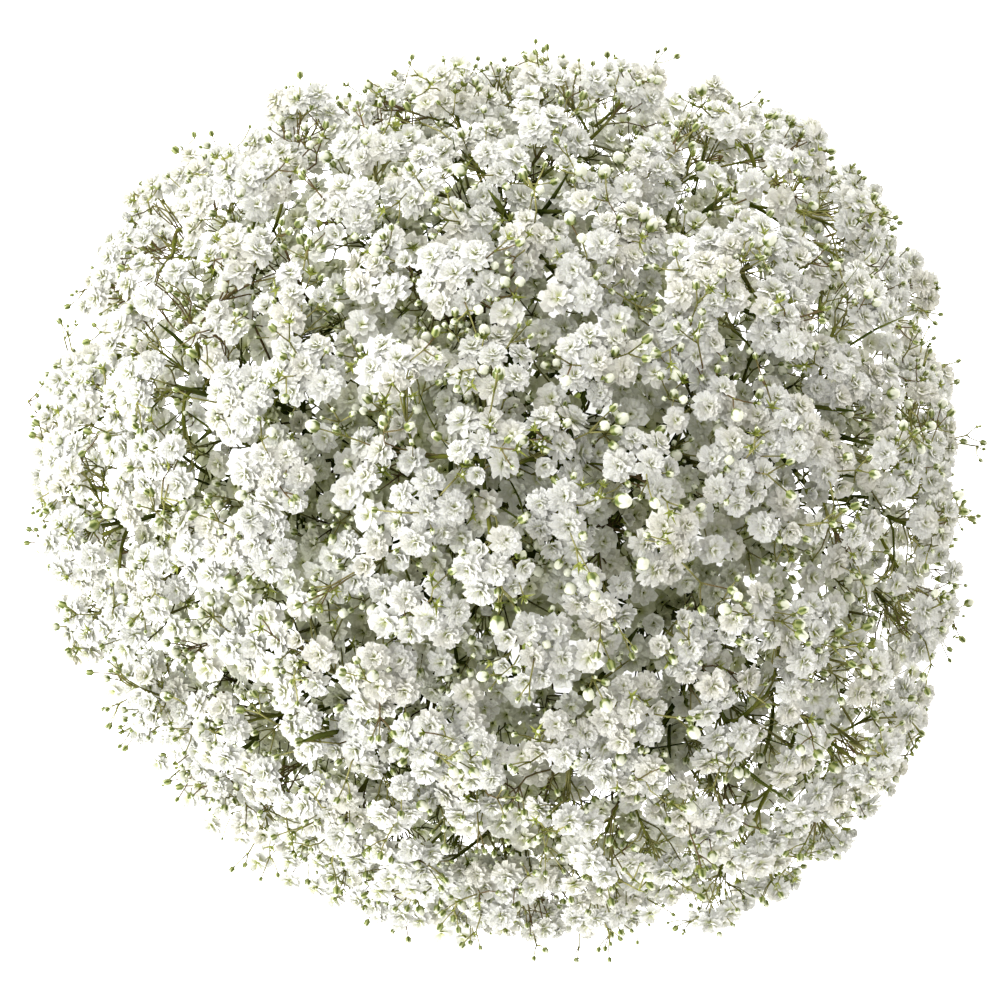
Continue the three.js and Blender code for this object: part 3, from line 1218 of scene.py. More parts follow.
@dataclass(frozen=True)
class BudPattern:
    """A bud: an egg with four ribs and two bracts. Its origin is at the foot of its calyx.

    Its opening is how far down its petals show: 1 in a closed bud, and more in a ball about to open.
    """

    radius: float
    stretch: float = 1.2
    meridians: int = 8
    parallels: int = 3
    bracts: int = 2
    bract_length: float = 1.5
    bract_width: float = 0.36
    bract_spread: float = 28.0
    opening: float = 1.0
    narrowing: float = 0.3

    def mesh(self, name: str, chance: random.Random) -> bpy.types.Mesh:
        """Builds the bud.

        Args:
            name: The mesh's name.
            chance: The draws that vary its bracts.

        Returns:
            The mesh to stamp.
        """
        bm = marked_bmesh()
        self.add_egg(bm, Vector())
        length, half_width = self.bract_length * self.radius, self.bract_width * self.radius
        BractPattern(self.bracts, length, half_width, self.bract_spread).add(bm, chance)
        return new_pattern(name, bm)

    def add_egg(self, bm: BMesh, foot: Vector) -> None:
        """Adds the ribbed egg, standing on a point.

        Args:
            bm: What it is added to.
            foot: The point.
        """
        run, rib = bm.verts.layers.float[RUN], bm.verts.layers.float[RIB]
        made = bmesh.ops.create_uvsphere(
            bm, u_segments=self.meridians, v_segments=self.parallels, radius=self.radius
        )
        height = 2 * self.radius * self.stretch
        for vert in made["verts"]:
            meridian = round(math.atan2(vert.co.y, vert.co.x) * self.meridians / math.tau)
            vert[rib] = float(meridian % 2)
            vert.co.z = (vert.co.z + self.radius) * self.stretch
            share = vert.co.z / height
            vert[run] = min(share * self.opening, 1)
            narrow = 1 - self.narrowing * share
            vert.co = foot + Vector((vert.co.x * narrow, vert.co.y * narrow, vert.co.z))
        for face in faces_of(made):
            face.smooth = True


@dataclass(frozen=True)
class BractPattern:
    """Narrow bracts that spring from one point, round any tiny buds."""

    bracts: int
    length: float
    half_width: float
    spread: float
    tiny_buds: int = 0
    tiny_radius: Range = (0.6, 0.85)
    tiny_height: Range = (0.4, 1.2)
    tiny_offset: float = 0.7  # of its radius, off the axis
    length_spread: Range = (0.6, 1.25)
    turn_spread: float = 0.35
    tilt_spread: float = 22.0
    flatness: float = 0.5

    def mesh(self, name: str, chance: random.Random) -> bpy.types.Mesh:
        """Builds the tuft.

        Args:
            name: The mesh's name.
            chance: The draws that vary its bracts.

        Returns:
            The mesh to stamp.
        """
        bm = marked_bmesh()
        self.add(bm, chance)
        for _ in range(self.tiny_buds):
            egg = BudPattern(chance.uniform(*self.tiny_radius), meridians=6)
            out = direction(90, chance.uniform(0, 360)) * (self.tiny_offset * egg.radius)
            egg.add_egg(bm, out + UP * chance.uniform(*self.tiny_height))
        return new_pattern(name, bm)

    def add(self, bm: BMesh, chance: random.Random) -> None:
        """Adds the bracts, in the second slot.

        Args:
            bm: What they are added to.
            chance: The draws that vary them.
        """
        run = bm.verts.layers.float[RUN]
        for i in range(self.bracts):
            length = self.length * chance.uniform(*self.length_spread)
            turn = math.tau * (i + chance.uniform(-self.turn_spread, self.turn_spread)) / self.bracts
            tilt = math.radians(self.spread + chance.uniform(-self.tilt_spread, self.tilt_spread))
            pose = (
                Matrix.Rotation(turn, 4, "Z")
                @ Matrix.Rotation(tilt, 4, "Y")
                @ Matrix.Diagonal((self.flatness, 1, 1, 1))
                @ Matrix.Translation((0, 0, length / 2))
            )
            made = bmesh.ops.create_cone(
                bm, cap_ends=True, segments=3, radius1=self.half_width, radius2=0, depth=length, matrix=pose
            )
            for vert in made["verts"]:
                vert[run] = min(vert.co.length / length, 1)
            for face in faces_of(made):
                face.smooth = False
                face.material_index = 1


@dataclass(frozen=True)
class LeafPattern:
    """A narrow pointed leaf that arches outwards. Its root is at the origin and it runs along +Z."""

    length: float = 30.0
    half_width: float = 1.0
    root_width: float = 0.22
    fullness: float = 2.5
    taper: float = 0.8
    thickness: float = 0.3
    arch: float = 7.0
    runs: int = 3

    def mesh(self, name: str) -> bpy.types.Mesh:
        """Builds the leaf.

        Args:
            name: The mesh's name.

        Returns:
            The mesh to stamp.
        """
        bm = marked_bmesh()
        bmesh.ops.create_grid(bm, x_segments=1, y_segments=self.runs, size=0.5)
        for vert in bm.verts:
            along = vert.co.y + 0.5
            width = self.half_width * (self.root_width + self.fullness * along * (1 - along) ** self.taper)
            vert.co = Vector((self.arch * along * along, 2 * vert.co.x * width, self.length * along))
        bmesh.ops.solidify(bm, geom=bm.faces[:], thickness=self.thickness)
        bmesh.ops.recalc_face_normals(bm, faces=bm.faces[:])
        for face in bm.faces:
            face.smooth = True
        return new_pattern(name, bm)


class PatternBook:
    """Every small shape of the plant, built once."""

    BUD_RADII = (0.85, 1.1, 1.3, 1.6)
    BALL_RADII = (1.8, 2.1, 2.4)

    def __init__(self, chance: random.Random) -> None:
        """Builds the patterns from one run of draws.

        Args:
            chance: The draws.
        """
        self.blooms = {
            stage: [stage.pattern.mesh(f"{stage.name.lower()}_{i}", chance) for i in range(stage.variants)]
            for stage in Bloom
        }
        self.buds = [BudPattern(radius).mesh(f"bud_{i}", chance) for i, radius in enumerate(self.BUD_RADII)]
        self.balls = [
            BudPattern(radius, 1.0, parallels=4, opening=1.55).mesh(f"ball_{i}", chance)
            for i, radius in enumerate(self.BALL_RADII)
        ]
        self.tufts = [BractPattern(6, 3.4, 0.6, 52, 1).mesh(f"tuft_{i}", chance) for i in range(4)]
        self.pairs = [BractPattern(2, 2.2, 0.45, 36).mesh(f"pair_{i}", chance) for i in range(3)]
        self.leaf = LeafPattern().mesh("leaf")


# ---- The dressing: cymes of flowers and buds on their pedicels ----


@dataclass(frozen=True)
class Stalk:
    """A thin curved stalk between two places."""

    BEND = 0.4  # of its length, for the handles of its curve
    FLARE = 1.3  # how much stouter it is at its root
    STEPS = 12  # how finely its nodes are placed

    root: Vector
    heading: Vector
    end: Vector
    finish: Vector
    radius: float
    runs: int

    def points(self, runs: int) -> list[Vector]:
        """The places along it, from its root.

        Args:
            runs: How many straight runs it is drawn in.

        Returns:
            The places, one more than the runs.
        """
        bend = self.BEND * (self.end - self.root).length
        out, back = self.root + self.heading * bend, self.end - self.finish * bend
        return interpolate_bezier(self.root, out, back, self.end, runs + 1)

    def node(self, share: float) -> tuple[Vector, Vector]:
        """A place on it where another stalk forks off.

        Args:
            share: The share of its length, from its root.

        Returns:
            The place, and the stalk's heading there.
        """
        line = self.points(self.STEPS)
        i = min(max(round(self.STEPS * share), 1), self.STEPS - 1)
        return line[i], (line[i + 1] - line[i - 1]).normalized()

    def draw(self, tubes: "Tubes", slot: int) -> None:
        """Draws it, a little stouter at its root."""
        tubes.add(self.points(self.runs), [self.radius * self.FLARE] + [self.radius] * self.runs, slot)


@dataclass
class Tip:
    """A flower, bud or tuft of bracts at the end of its pedicel."""

    pattern: bpy.types.Mesh
    place: Vector
    facing: Vector
    girth: float
    size: float
    turn: float
    leash: float
    root: Vector
    heading: Vector
    depth: float
    pedicel_radius: float
    pedicel_runs: int
    petalled: bool
    parent: "Tip | None" = None
    fork: float = 0.0
    home: Vector = field(init=False)

    def __post_init__(self) -> None:
        """Keeps where it started, so that it doesn't stray."""
        self.home = self.place.copy()

    @property
    def stalk(self) -> Stalk:
        """Its pedicel, which springs from its root, or from its parent's pedicel where that now runs.

        Returns:
            The pedicel.
        """
        neck = self.place - self.facing * (self.depth * self.size)
        root, heading = self.root, self.heading
        if self.parent:
            root, tangent = self.parent.stalk.node(self.fork)
            heading = (tangent + (neck - root).normalized()).normalized()
        return Stalk(root, heading, neck, self.facing, self.pedicel_radius, self.pedicel_runs)


SIDEWAYS = 0.7  # how much of the push along a tip's facing is left out
SHARED_PUSH = 0.5
LONE_PUSH = 0.9
PUSH_SHARE = 0.8


def part(movers: list[Tip], fixed: list[Tip], rounds: int, closeness: float) -> None:
    """Pushes crowded tips apart, mostly sideways to the way that they face.

    Args:
        movers: The tips that move.
        fixed: The tips that stay, which the others keep clear of.
        rounds: How many times each is pushed.
        closeness: The share of two girths that they may close to.
    """
    everyone = movers + fixed
    widest = max(tip.girth for tip in everyone)
    for _ in range(rounds):
        tree = KDTree(len(everyone))
        for i, tip in enumerate(everyone):
            tree.insert(tip.place, i)
        tree.balance()
        moved = []
        for i, tip in enumerate(movers):
            push = Vector()
            for place, j, distance in tree.find_range(tip.place, closeness * (tip.girth + widest)):
                crowding = closeness * (tip.girth + everyone[j].girth) - distance
                if j != i and crowding > 0:
                    apart = tip.place - place
                    apart -= tip.facing * (SIDEWAYS * apart.dot(tip.facing))
                    push += apart.normalized() * crowding * (SHARED_PUSH if j < len(movers) else LONE_PUSH)
            strayed = tip.place + push * PUSH_SHARE - tip.home
            if strayed.length > tip.leash:
                strayed = strayed.normalized() * tip.leash
            moved.append(tip.home + strayed)
        for tip, place in zip(movers, moved):
            tip.place = place


@dataclass
class Dressing:
    """All that one spray carries."""

    LENGTH_COST = 0.1
    CROWDING_COST = 0.35
    ROOTS = 20  # on a shoot
    LOWEST_ROOT = 0.3
    ALONG_SHOOT = 1.5  # how much a pedicel starts along its shoot

    spray: Spray
    blooms: list[Tip] = field(default_factory=list)
    buds: list[Tip] = field(default_factory=list)
    twiglets: list[Stalk] = field(default_factory=list)
    bracts: list[tuple[Vector, Vector]] = field(default_factory=list)
    roots: list[tuple[Vector, Vector]] = field(default_factory=list)
    uses: list[int] = field(init=False)

    def __post_init__(self) -> None:
        """Lists the places that a long pedicel can spring from, with their headings and how many do."""
        for shoot in self.spray.shoots:
            for i in range(self.ROOTS):
                share = self.LOWEST_ROOT + (shoot.upper_fork - self.LOWEST_ROOT) * i / (self.ROOTS - 1)
                self.roots.append((shoot.point(share), shoot.tangent(share)))
        self.uses = [0] * len(self.roots)

    @property
    def tips(self) -> list[Tip]:
        """Every flower and bud."""
        return self.blooms + self.buds

    def root_for(self, place: Vector) -> tuple[Vector, Vector]:
        """The place on the spray's shoots that a long pedicel springs from.

        Args:
            place: Where the pedicel goes.

        Returns:
            The place, and the pedicel's heading there.
        """

        def cost(i: int) -> float:
            """How far a root is from the best one: close by, with a narrow fork, and bare so far.

            Args:
                i: The root's number.

            Returns:
                The cost.
            """
            away = place - self.roots[i][0]
            turned = away.angle(self.roots[i][1], math.pi)
            return turned + self.LENGTH_COST * away.length + self.CROWDING_COST * self.uses[i]

        best = min(range(len(self.roots)), key=cost)
        for i in range(max(best - 1, 0), min(best + 2, len(self.uses))):
            self.uses[i] += 1
        point, tangent = self.roots[best]
        return point, (tangent * self.ALONG_SHOOT + (place - point).normalized()).normalized()


@dataclass(frozen=True)
class Cover:
    """A pass of extra flowers, which go wherever a shell of the head shows a gap."""

    low: float
    high: float
    gap: float
    candidates: int
    stage: Bloom
    from_above: bool
    green_share: float
    edge_angle: float = 104.0


EYE_HEIGHT = 1256.0  # of the eye that looks down for gaps
RIM_SHARE = 0.95  # of the head's radius, out to which it looks
COVERS = (
    Cover(0.80, 0.93, 7.2, 5200, Bloom.LOWER, False, 0.35),
    Cover(0.70, 0.85, 5.8, 6000, Bloom.LOWER, True, 0.2),
    Cover(0.52, 0.74, 4.8, 9000, Bloom.DEEP, True, 0.05),
)


@dataclass
class Florist:
    """Turns the frame's large flowers into cymes of small ones."""

    ROUNDS = 8  # of pushing the flowers, and then the buds, apart

    book: PatternBook
    chance: random.Random

    flower_closeness: float = 0.84
    flower_leash: float = 6.0
    flower_size: Range = (0.84, 1.12)
    flower_sunk: float = 0.4  # how far its neck is above the foot of its calyx
    rim_shrinking: float = 0.08
    rim_lift: float = 1.1  # how much flowers at the rim turn up towards the light
    cupped_share: float = 0.12

    cyme_rise: Range = (-3.5, 3.5)
    middle_rise: Range = (-0.5, 1.2)
    count_spread: tuple[int, ...] = (-2, -1, 0, 0, 1)
    rim_lowness: float = 0.72  # below which a cyme has a flower more
    ring_radius: float = 7.4
    ring_spread: Range = (0.86, 1.12)
    ring_drop: Range = (-5.0, 1.2)
    ring_turns: Range = (-0.22, 0.22)
    side_lean: float = 0.5
    lean_spread: Range = (0.3, 1.5)
    side_jitter: float = 0.25
    side_heading: Range = (1.2, 2.2)
    sister_fork: Range = (0.3, 0.5)
    cover_jitter: float = 0.3

    bud_closeness: float = 0.92
    bud_leash: float = 5.0
    bud_size: Range = (0.85, 1.12)
    bud_rim_size: float = -0.3
    bud_limit: float = 1.03  # of the head's size
    tuft_share: float = 0.16
    ball_share: float = 0.33
    rim_balls: float = -0.12
    budless_share: float = 0.15
    bud_fork: Range = (0.5, 0.7)
    bud_out: Range = (3.5, 6.0)
    bud_rise: Range = (4.5, 8.5)
    bud_splay: Range = (0.35, 0.85)
    bud_reach: Range = (3.0, 8.0)

    sprigs: float = 2.0
    rim_sprigs: float = -0.5
    sprig_root: Range = (11, 20)
    sprig_out: Range = (4, 13)
    sprig_rise: Range = (4.5, 8.0)
    sprig_finish: Range = (0.2, 0.9)
    sprig_counts: tuple[int, ...] = (2, 2, 3)

    bare_shoots: int = 14
    outer_bare_shoots: int = 6
    bare_radius: float = 0.4
    bare_root: Range = (0.3, 0.72)
    bare_end: Range = (0.78, 0.93)
    bare_jitter: float = 10.0

    def dress(self, sprays: list[Spray]) -> list[Dressing]:
        """Places every flower and bud.

        Args:
            sprays: The skeleton.

        Returns:
            What each spray carries.
        """
        dressings = [Dressing(spray) for spray in sprays]
        for dressing in dressings:
            for flower in dressing.spray.flowers:
                flower.centre = flower.centre + HEAD.lobe(flower.centre)
                self.add_cyme(dressing, flower)
        self.part_blooms(dressings)
        for cover in COVERS[:-1]:
            self.fill_gaps(dressings, cover)
        self.part_blooms(dressings)
        self.fill_gaps(dressings, COVERS[-1])
        for dressing in dressings:
            for tip in dressing.blooms:
                self.add_buds(dressing, tip)
            for flower in dressing.spray.flowers:
                if flower.layer is FLOWER_LAYERS[0]:
                    expected = self.sprigs + self.rim_sprigs * self.lowness(flower.centre)
                    for _ in range(math.floor(expected + self.chance.random())):
                        self.add_sprig(dressing, flower)
            outer = dressing.spray.ring is STEM_RINGS[-1]
            for _ in range(self.outer_bare_shoots if outer else self.bare_shoots):
                self.add_bare_shoot(dressing)
        blooms = [tip for dressing in dressings for tip in dressing.blooms]
        buds = [tip for dressing in dressings for tip in dressing.buds]
        part(buds, blooms, self.ROUNDS, self.bud_closeness)
        return dressings

    def part_blooms(self, dressings: list[Dressing]) -> None:
        """Spreads all the flowers so that they don't crowd.

        Args:
            dressings: What the sprays carry.
        """
        blooms = [tip for dressing in dressings for tip in dressing.blooms]
        part(blooms, [], self.ROUNDS, self.flower_closeness)
        for tip in blooms:
            tip.home = tip.place.copy()

    def lowness(self, place: Vector) -> float:
        """How far down the side of the head a place is: 0 at the top and 1 at the rim or below."""
        return min(max(1 - (place.z - HEAD.rim_height) / HEAD.rise, 0), 1)

    def bloom(self, stage: Bloom, place: Vector, facing: Vector, root: Vector, heading: Vector) -> Tip:
        """A flower on its pedicel.

        Args:
            stage: How open it is.
            place: Where its petals' roots go.
            facing: The way it faces, before it turns up towards the light.
            root: Where its pedicel starts.
            heading: The way its pedicel starts.

        Returns:
            The flower.
        """
        low = self.lowness(place)
        size = self.chance.uniform(*self.flower_size) - self.rim_shrinking * low * low
        return Tip(
            pattern=self.chance.choice(self.book.blooms[stage]),
            place=place,
            facing=(facing.normalized() + UP * (self.rim_lift * low)).normalized(),
            girth=stage.girth * size,
            size=size,
            turn=self.chance.uniform(0, math.tau),
            leash=self.flower_leash,
            root=root,
            heading=heading,
            depth=stage.pattern.calyx_depth - self.flower_sunk,
            pedicel_radius=0.24 - 0.06 * low,
            pedicel_runs=2 if stage is Bloom.DEEP else 3,
            petalled=True,
        )

    def stage(self, flower: Flower, place: Vector) -> Bloom:
        """Draws how open a flower of a cyme is.

        Args:
            flower: The frame's flower that becomes the cyme.
            place: Where the small flower goes.

        Returns:
            How open it is.
        """
        if self.chance.random() < self.cupped_share * (1 + self.lowness(place)):
            return self.chance.choice((Bloom.CUPPED, Bloom.CUPPED, Bloom.BALL))
        return Bloom.OPEN if flower.layer is FLOWER_LAYERS[0] else Bloom.LOWER

    def jitter(self, reach: float) -> Vector:
        """A small random offset."""
        return Vector([self.chance.uniform(-reach, reach) for _ in range(3)])

    def radial(self, way: Vector, turn: float) -> Vector:
        """A unit vector square to a direction, at a turn about it."""
        first, second = across(way)
        return first * math.cos(turn) + second * math.sin(turn)

    def add_cyme(self, dressing: Dressing, flower: Flower) -> None:
        """Adds the middle flower of a cyme, and the ring of flowers that fork off below it.

        Args:
            dressing: What its spray carries.
            flower: The frame's flower that becomes the cyme.
        """
        chance, shoot = self.chance, flower.shoot
        upper, lower = shoot.upper_fork, shoot.lower_fork
        rise = flower.facing * chance.uniform(*self.cyme_rise)
        middle = flower.centre + rise + flower.facing * chance.uniform(*self.middle_rise)
        root, heading = shoot.point(upper), shoot.tangent(upper)
        stage = self.stage(flower, middle)
        dressing.blooms.append(self.bloom(stage, middle, flower.facing, root, heading))
        start = chance.uniform(0, math.tau)
        rim_flowers = 1 if self.lowness(flower.centre) > self.rim_lowness else 0
        count = flower.layer.side_flowers + rim_flowers + chance.choice(self.count_spread)
        sister = None
        for i in range(count):
            turn = start + math.tau * (i + chance.uniform(*self.ring_turns)) / count
            radial = self.radial(flower.facing, turn)
            share = upper if i % 3 else lower
            out = self.ring_radius * chance.uniform(*self.ring_spread)
            place = flower.centre + rise + radial * out + flower.facing * chance.uniform(*self.ring_drop)
            lean = self.side_lean * chance.uniform(*self.lean_spread)
            facing = flower.facing + radial * lean + self.jitter(self.side_jitter)
            heading = (shoot.tangent(share) + radial * chance.uniform(*self.side_heading)).normalized()
            stage = self.stage(flower, place)
            side = self.bloom(stage, place, facing, shoot.point(share), heading)
            side.parent, side.fork = sister, chance.uniform(*self.sister_fork)
            sister = None if sister else side
            dressing.blooms.append(side)
        for share in (upper, lower):
            shoot.nodes.append(share)
            dressing.bracts.append((shoot.point(share), shoot.tangent(share)))

    def fill_gaps(self, dressings: list[Dressing], cover: Cover) -> None:
        """Adds flowers wherever a shell of the head shows a gap.

        Args:
            dressings: What the sprays carry so far.
            cover: The shell, and the way that it's looked at.
        """
        floor = cover.low - 0.1
        seen = []
        for dressing in dressings:
            for tip in dressing.blooms:
                spot = HEAD.unscaled(tip.place - HEAD.centre)
                if spot.length > floor:
                    seen.append(self.outlook(spot, cover))
        seen = np.array(seen)
        before = len(seen)
        for i in range(cover.candidates):
            spot = self.candidate(i, cover)
            outlook = np.array(self.outlook(spot, cover))
            if np.linalg.norm(seen - outlook, axis=1).min() * HEAD.radius < cover.gap:
                continue
            seen = np.vstack([seen, outlook])
            place = HEAD.scaled(spot, 1)
            aimed = (place - HEAD.bind).normalized()
            dressing = max(dressings, key=lambda other: other.spray.axis.dot(aimed))
            root, heading = dressing.root_for(place)
            facing = (HEAD.unscaled(spot).normalized() + self.jitter(self.cover_jitter)).normalized()
            if self.chance.random() < cover.green_share:
                self.fork_buds(dressing, Stalk(root, heading, place, facing, 0.26, 5), facing, 4)
            else:
                dressing.blooms.append(self.bloom(cover.stage, place, facing, root, heading))
        log.info("%s cover: %d gaps filled", cover.stage.name.lower(), len(seen) - before)

    def outlook(self, spot: Vector, cover: Cover) -> tuple[float, float, float]:
        """Where a spot is seen: from high above, or from outside.

        Args:
            spot: The spot, in shares of the head's size.
            cover: The pass that looks.

        Returns:
            The place in its view, in shares of the head's size.
        """
        if not cover.from_above:
            return tuple(spot.normalized())
        nearness = (EYE_HEIGHT - HEAD.rim_height) / (EYE_HEIGHT - HEAD.scaled(spot, 1).z)
        return (spot.x * nearness, spot.y * nearness, 0.0)

    def candidate(self, i: int, cover: Cover) -> Vector:
        """A spot on a cover's shell, evenly spread with the others.

        Args:
            i: The spot's number.
            cover: The pass that it is for.

        Returns:
            The spot, in shares of the head's size.
        """
        share = self.chance.uniform(cover.low, cover.high)
        turn = GOLDEN_TURN * i
        if cover.from_above:
            across_share = RIM_SHARE * math.sqrt((i + 0.5) / cover.candidates)
            flat = direction(90, turn) * across_share
            return flat + UP * math.sqrt(max(share**2 - across_share**2, 0))
        depth = 1 - math.cos(math.radians(cover.edge_angle))
        from_up = math.degrees(math.acos(1 - depth * (i + 0.5) / cover.candidates))
        return direction(from_up, turn) * share

    def bud(self, place: Vector, facing: Vector, root: Vector, heading: Vector) -> Tip:
        """A bud, a ball that is about to open, or a tuft of bracts, on its pedicel.

        Args:
            place: Where its foot goes.
            facing: The way it faces.
            root: Where its pedicel starts.
            heading: The way its pedicel starts.

        Returns:
            The bud.
        """
        chance = self.chance
        kind = chance.random()
        low = self.lowness(place)
        place = HEAD.within(place, self.bud_limit)
        if kind < self.tuft_share:
            pattern, girth = chance.choice(self.book.tufts), 1.6
        elif kind < self.ball_share + self.rim_balls * low:
            pattern, girth = chance.choice(self.book.balls), 2.1
        else:
            pattern, girth = chance.choice(self.book.buds), 1.4
        return Tip(
            pattern=pattern,
            place=place,
            facing=facing.normalized(),
            girth=girth,
            size=chance.uniform(*self.bud_size) * (1 + self.bud_rim_size * low),
            turn=chance.uniform(0, math.tau),
            leash=self.bud_leash,
            root=root,
            heading=heading,
            depth=0.0,
            pedicel_radius=0.2 - 0.05 * low,
            pedicel_runs=2,
            petalled=False,
        )

    def add_buds(self, dressing: Dressing, bloom: Tip) -> None:
        """Adds the bracts, and mostly a bud, that fork off a flower's pedicel.

        Args:
            dressing: What its spray carries.
            bloom: The flower.
        """
        chance = self.chance
        root, tangent = bloom.stalk.node(chance.uniform(*self.bud_fork))
        dressing.bracts.append((root, tangent))
        if chance.random() < self.budless_share:
            return
        radial = self.radial(tangent, chance.uniform(0, math.tau))
        out = radial * chance.uniform(*self.bud_out)
        place = root + out + bloom.facing * chance.uniform(*self.bud_rise)
        heading = (tangent + radial * 0.9).normalized()
        dressing.buds.append(self.bud(place, bloom.facing + radial * 0.55, root, heading))

    def add_sprig(self, dressing: Dressing, flower: Flower) -> None:
        """Adds a twiglet that rises between the flowers and carries a few buds over them.

        Args:
            dressing: What its spray carries.
            flower: The frame's flower, off whose shoot it forks.
        """
        chance, shoot = self.chance, flower.shoot
        low = self.lowness(flower.centre)
        share = shoot.share_below_neck(chance.uniform(*self.sprig_root), 0.6)
        radial = self.radial(flower.facing, chance.uniform(0, math.tau))
        rise = chance.uniform(*self.sprig_rise) * (1 - 0.7 * low)
        end = flower.centre + radial * chance.uniform(*self.sprig_out) + flower.facing * rise
        finish = (radial + flower.facing * chance.uniform(*self.sprig_finish)).normalized()
        heading = (shoot.tangent(share) + radial * 0.3).normalized()
        twiglet = Stalk(shoot.point(share), heading, end, finish, 0.24, 4)
        self.fork_buds(dressing, twiglet, flower.facing, chance.choice(self.sprig_counts))

    def add_bare_shoot(self, dressing: Dressing) -> None:
        """Adds a long thin shoot inside the spray, which carries only a few small buds.

        Args:
            dressing: What the spray carries.
        """
        chance = self.chance
        flower = chance.choice(dressing.spray.flowers)
        stem = dressing.spray.shoots[0]
        share = chance.uniform(*self.bare_root)
        root, tangent = stem.point(share), stem.tangent(share)
        place = flower.centre + self.jitter(self.bare_jitter)
        place = HEAD.centre + (place - HEAD.centre) * chance.uniform(*self.bare_end)
        heading = (tangent + (place - root).normalized() * 0.8).normalized()
        finish = (flower.facing + self.jitter(0.6)).normalized()
        shoot = Stalk(root, heading, place, finish, self.bare_radius, 4)
        self.fork_buds(dressing, shoot, flower.facing, 2)

    def fork_buds(self, dressing: Dressing, twiglet: Stalk, facing: Vector, count: int) -> None:
        """Adds a twiglet that forks at its end into the pedicels of a few buds.

        Args:
            dressing: What it is added to.
            twiglet: The stalk that forks.
            facing: The way that the buds tend to face.
            count: How many buds there are.
        """
        chance, end, finish = self.chance, twiglet.end, twiglet.finish
        dressing.twiglets.append(twiglet)
        dressing.bracts.append((end, finish))
        start = chance.uniform(0, math.tau)
        for i in range(count):
            sideways = self.radial(finish, start + math.tau * i / count)
            way = (finish + sideways * chance.uniform(*self.bud_splay)).normalized()
            place = end + way * chance.uniform(*self.bud_reach)
            dressing.buds.append(self.bud(place, way + facing * 0.5, end, way))


# ---- The pieces ----


class Tubes:
    """Round shoots or plies, drawn as lines with a radius and turned into closed tubes."""

    WELD = 0.00004
    SLOTS = 8

    def __init__(self, extra_sides: int) -> None:
        """Starts with no tubes.

        Args:
            extra_sides: How many sides past four each has, an even number.
        """
        self.curve = bpy.data.curves.new("tubes", "CURVE")
        self.curve.dimensions = "3D"
        self.curve.bevel_depth = 1
        self.curve.bevel_resolution = extra_sides // 2
        self.curve.use_fill_caps = True
        for _ in range(self.SLOTS):
            self.curve.materials.append(None)

    def add(self, points: list[Vector], radii: list[float], slot: int = 0) -> None:
        """Adds a tube.

        Args:
            points: Its middle line.
            radii: Its radius at each of them.
            slot: Its material's slot.
        """
        spline = self.curve.splines.new("POLY")
        spline.points.add(len(points) - 1)
        spline.points.foreach_set("co", [value for point in points for value in (*point, 1)])
        spline.points.foreach_set("radius", radii)
        spline.use_smooth = True
        spline.material_index = slot

    def pour(self, bm: BMesh) -> None:
        """Adds the tubes to a bmesh as closed meshes, with the slots that they were given.

        Args:
            bm: What they are added to.
        """
        holder = put("tubes", self.curve)
        graph = bpy.context.evaluated_depsgraph_get()
        mesh = bpy.data.meshes.new_from_object(holder.evaluated_get(graph))
        if "UVMap" in mesh.attributes:
            mesh.attributes.remove(mesh.attributes["UVMap"])
        own = bmesh.new()
        own.from_mesh(mesh)
        for face in own.faces:
            if all(edge.is_boundary for edge in face.edges):
                sharpen(face)
        bmesh.ops.remove_doubles(own, verts=own.verts, dist=self.WELD)
        own.to_mesh(mesh)
        own.free()
        bm.from_mesh(mesh)
        bpy.data.objects.remove(holder)
        bpy.data.curves.remove(self.curve)
        bpy.data.meshes.remove(mesh)


def finished(name: str, bm: BMesh) -> bpy.types.Object:
    """Turns a bmesh in millimetres into a piece in metres, which rides on the bunch's one body.

    Args:
        name: The piece's name.
        bm: Its shape, which is freed.

    Returns:
        The piece.
    """
    bmesh.ops.scale(bm, vec=(MM, MM, MM), verts=bm.verts)
    mesh = bpy.data.meshes.new(name)
    bm.to_mesh(mesh)
    bm.free()
    piece = put(name, mesh)
    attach(piece, "root")
    return piece


def report(piece: bpy.types.Object) -> bpy.types.Object:
    """Logs how many triangles a piece has.

    Args:
        piece: The piece.

    Returns:
        The piece.
    """
    triangles = sum(len(face.vertices) - 2 for face in piece.data.polygons)
    log.info("%s: %d triangles", piece.name, triangles)
    return piece


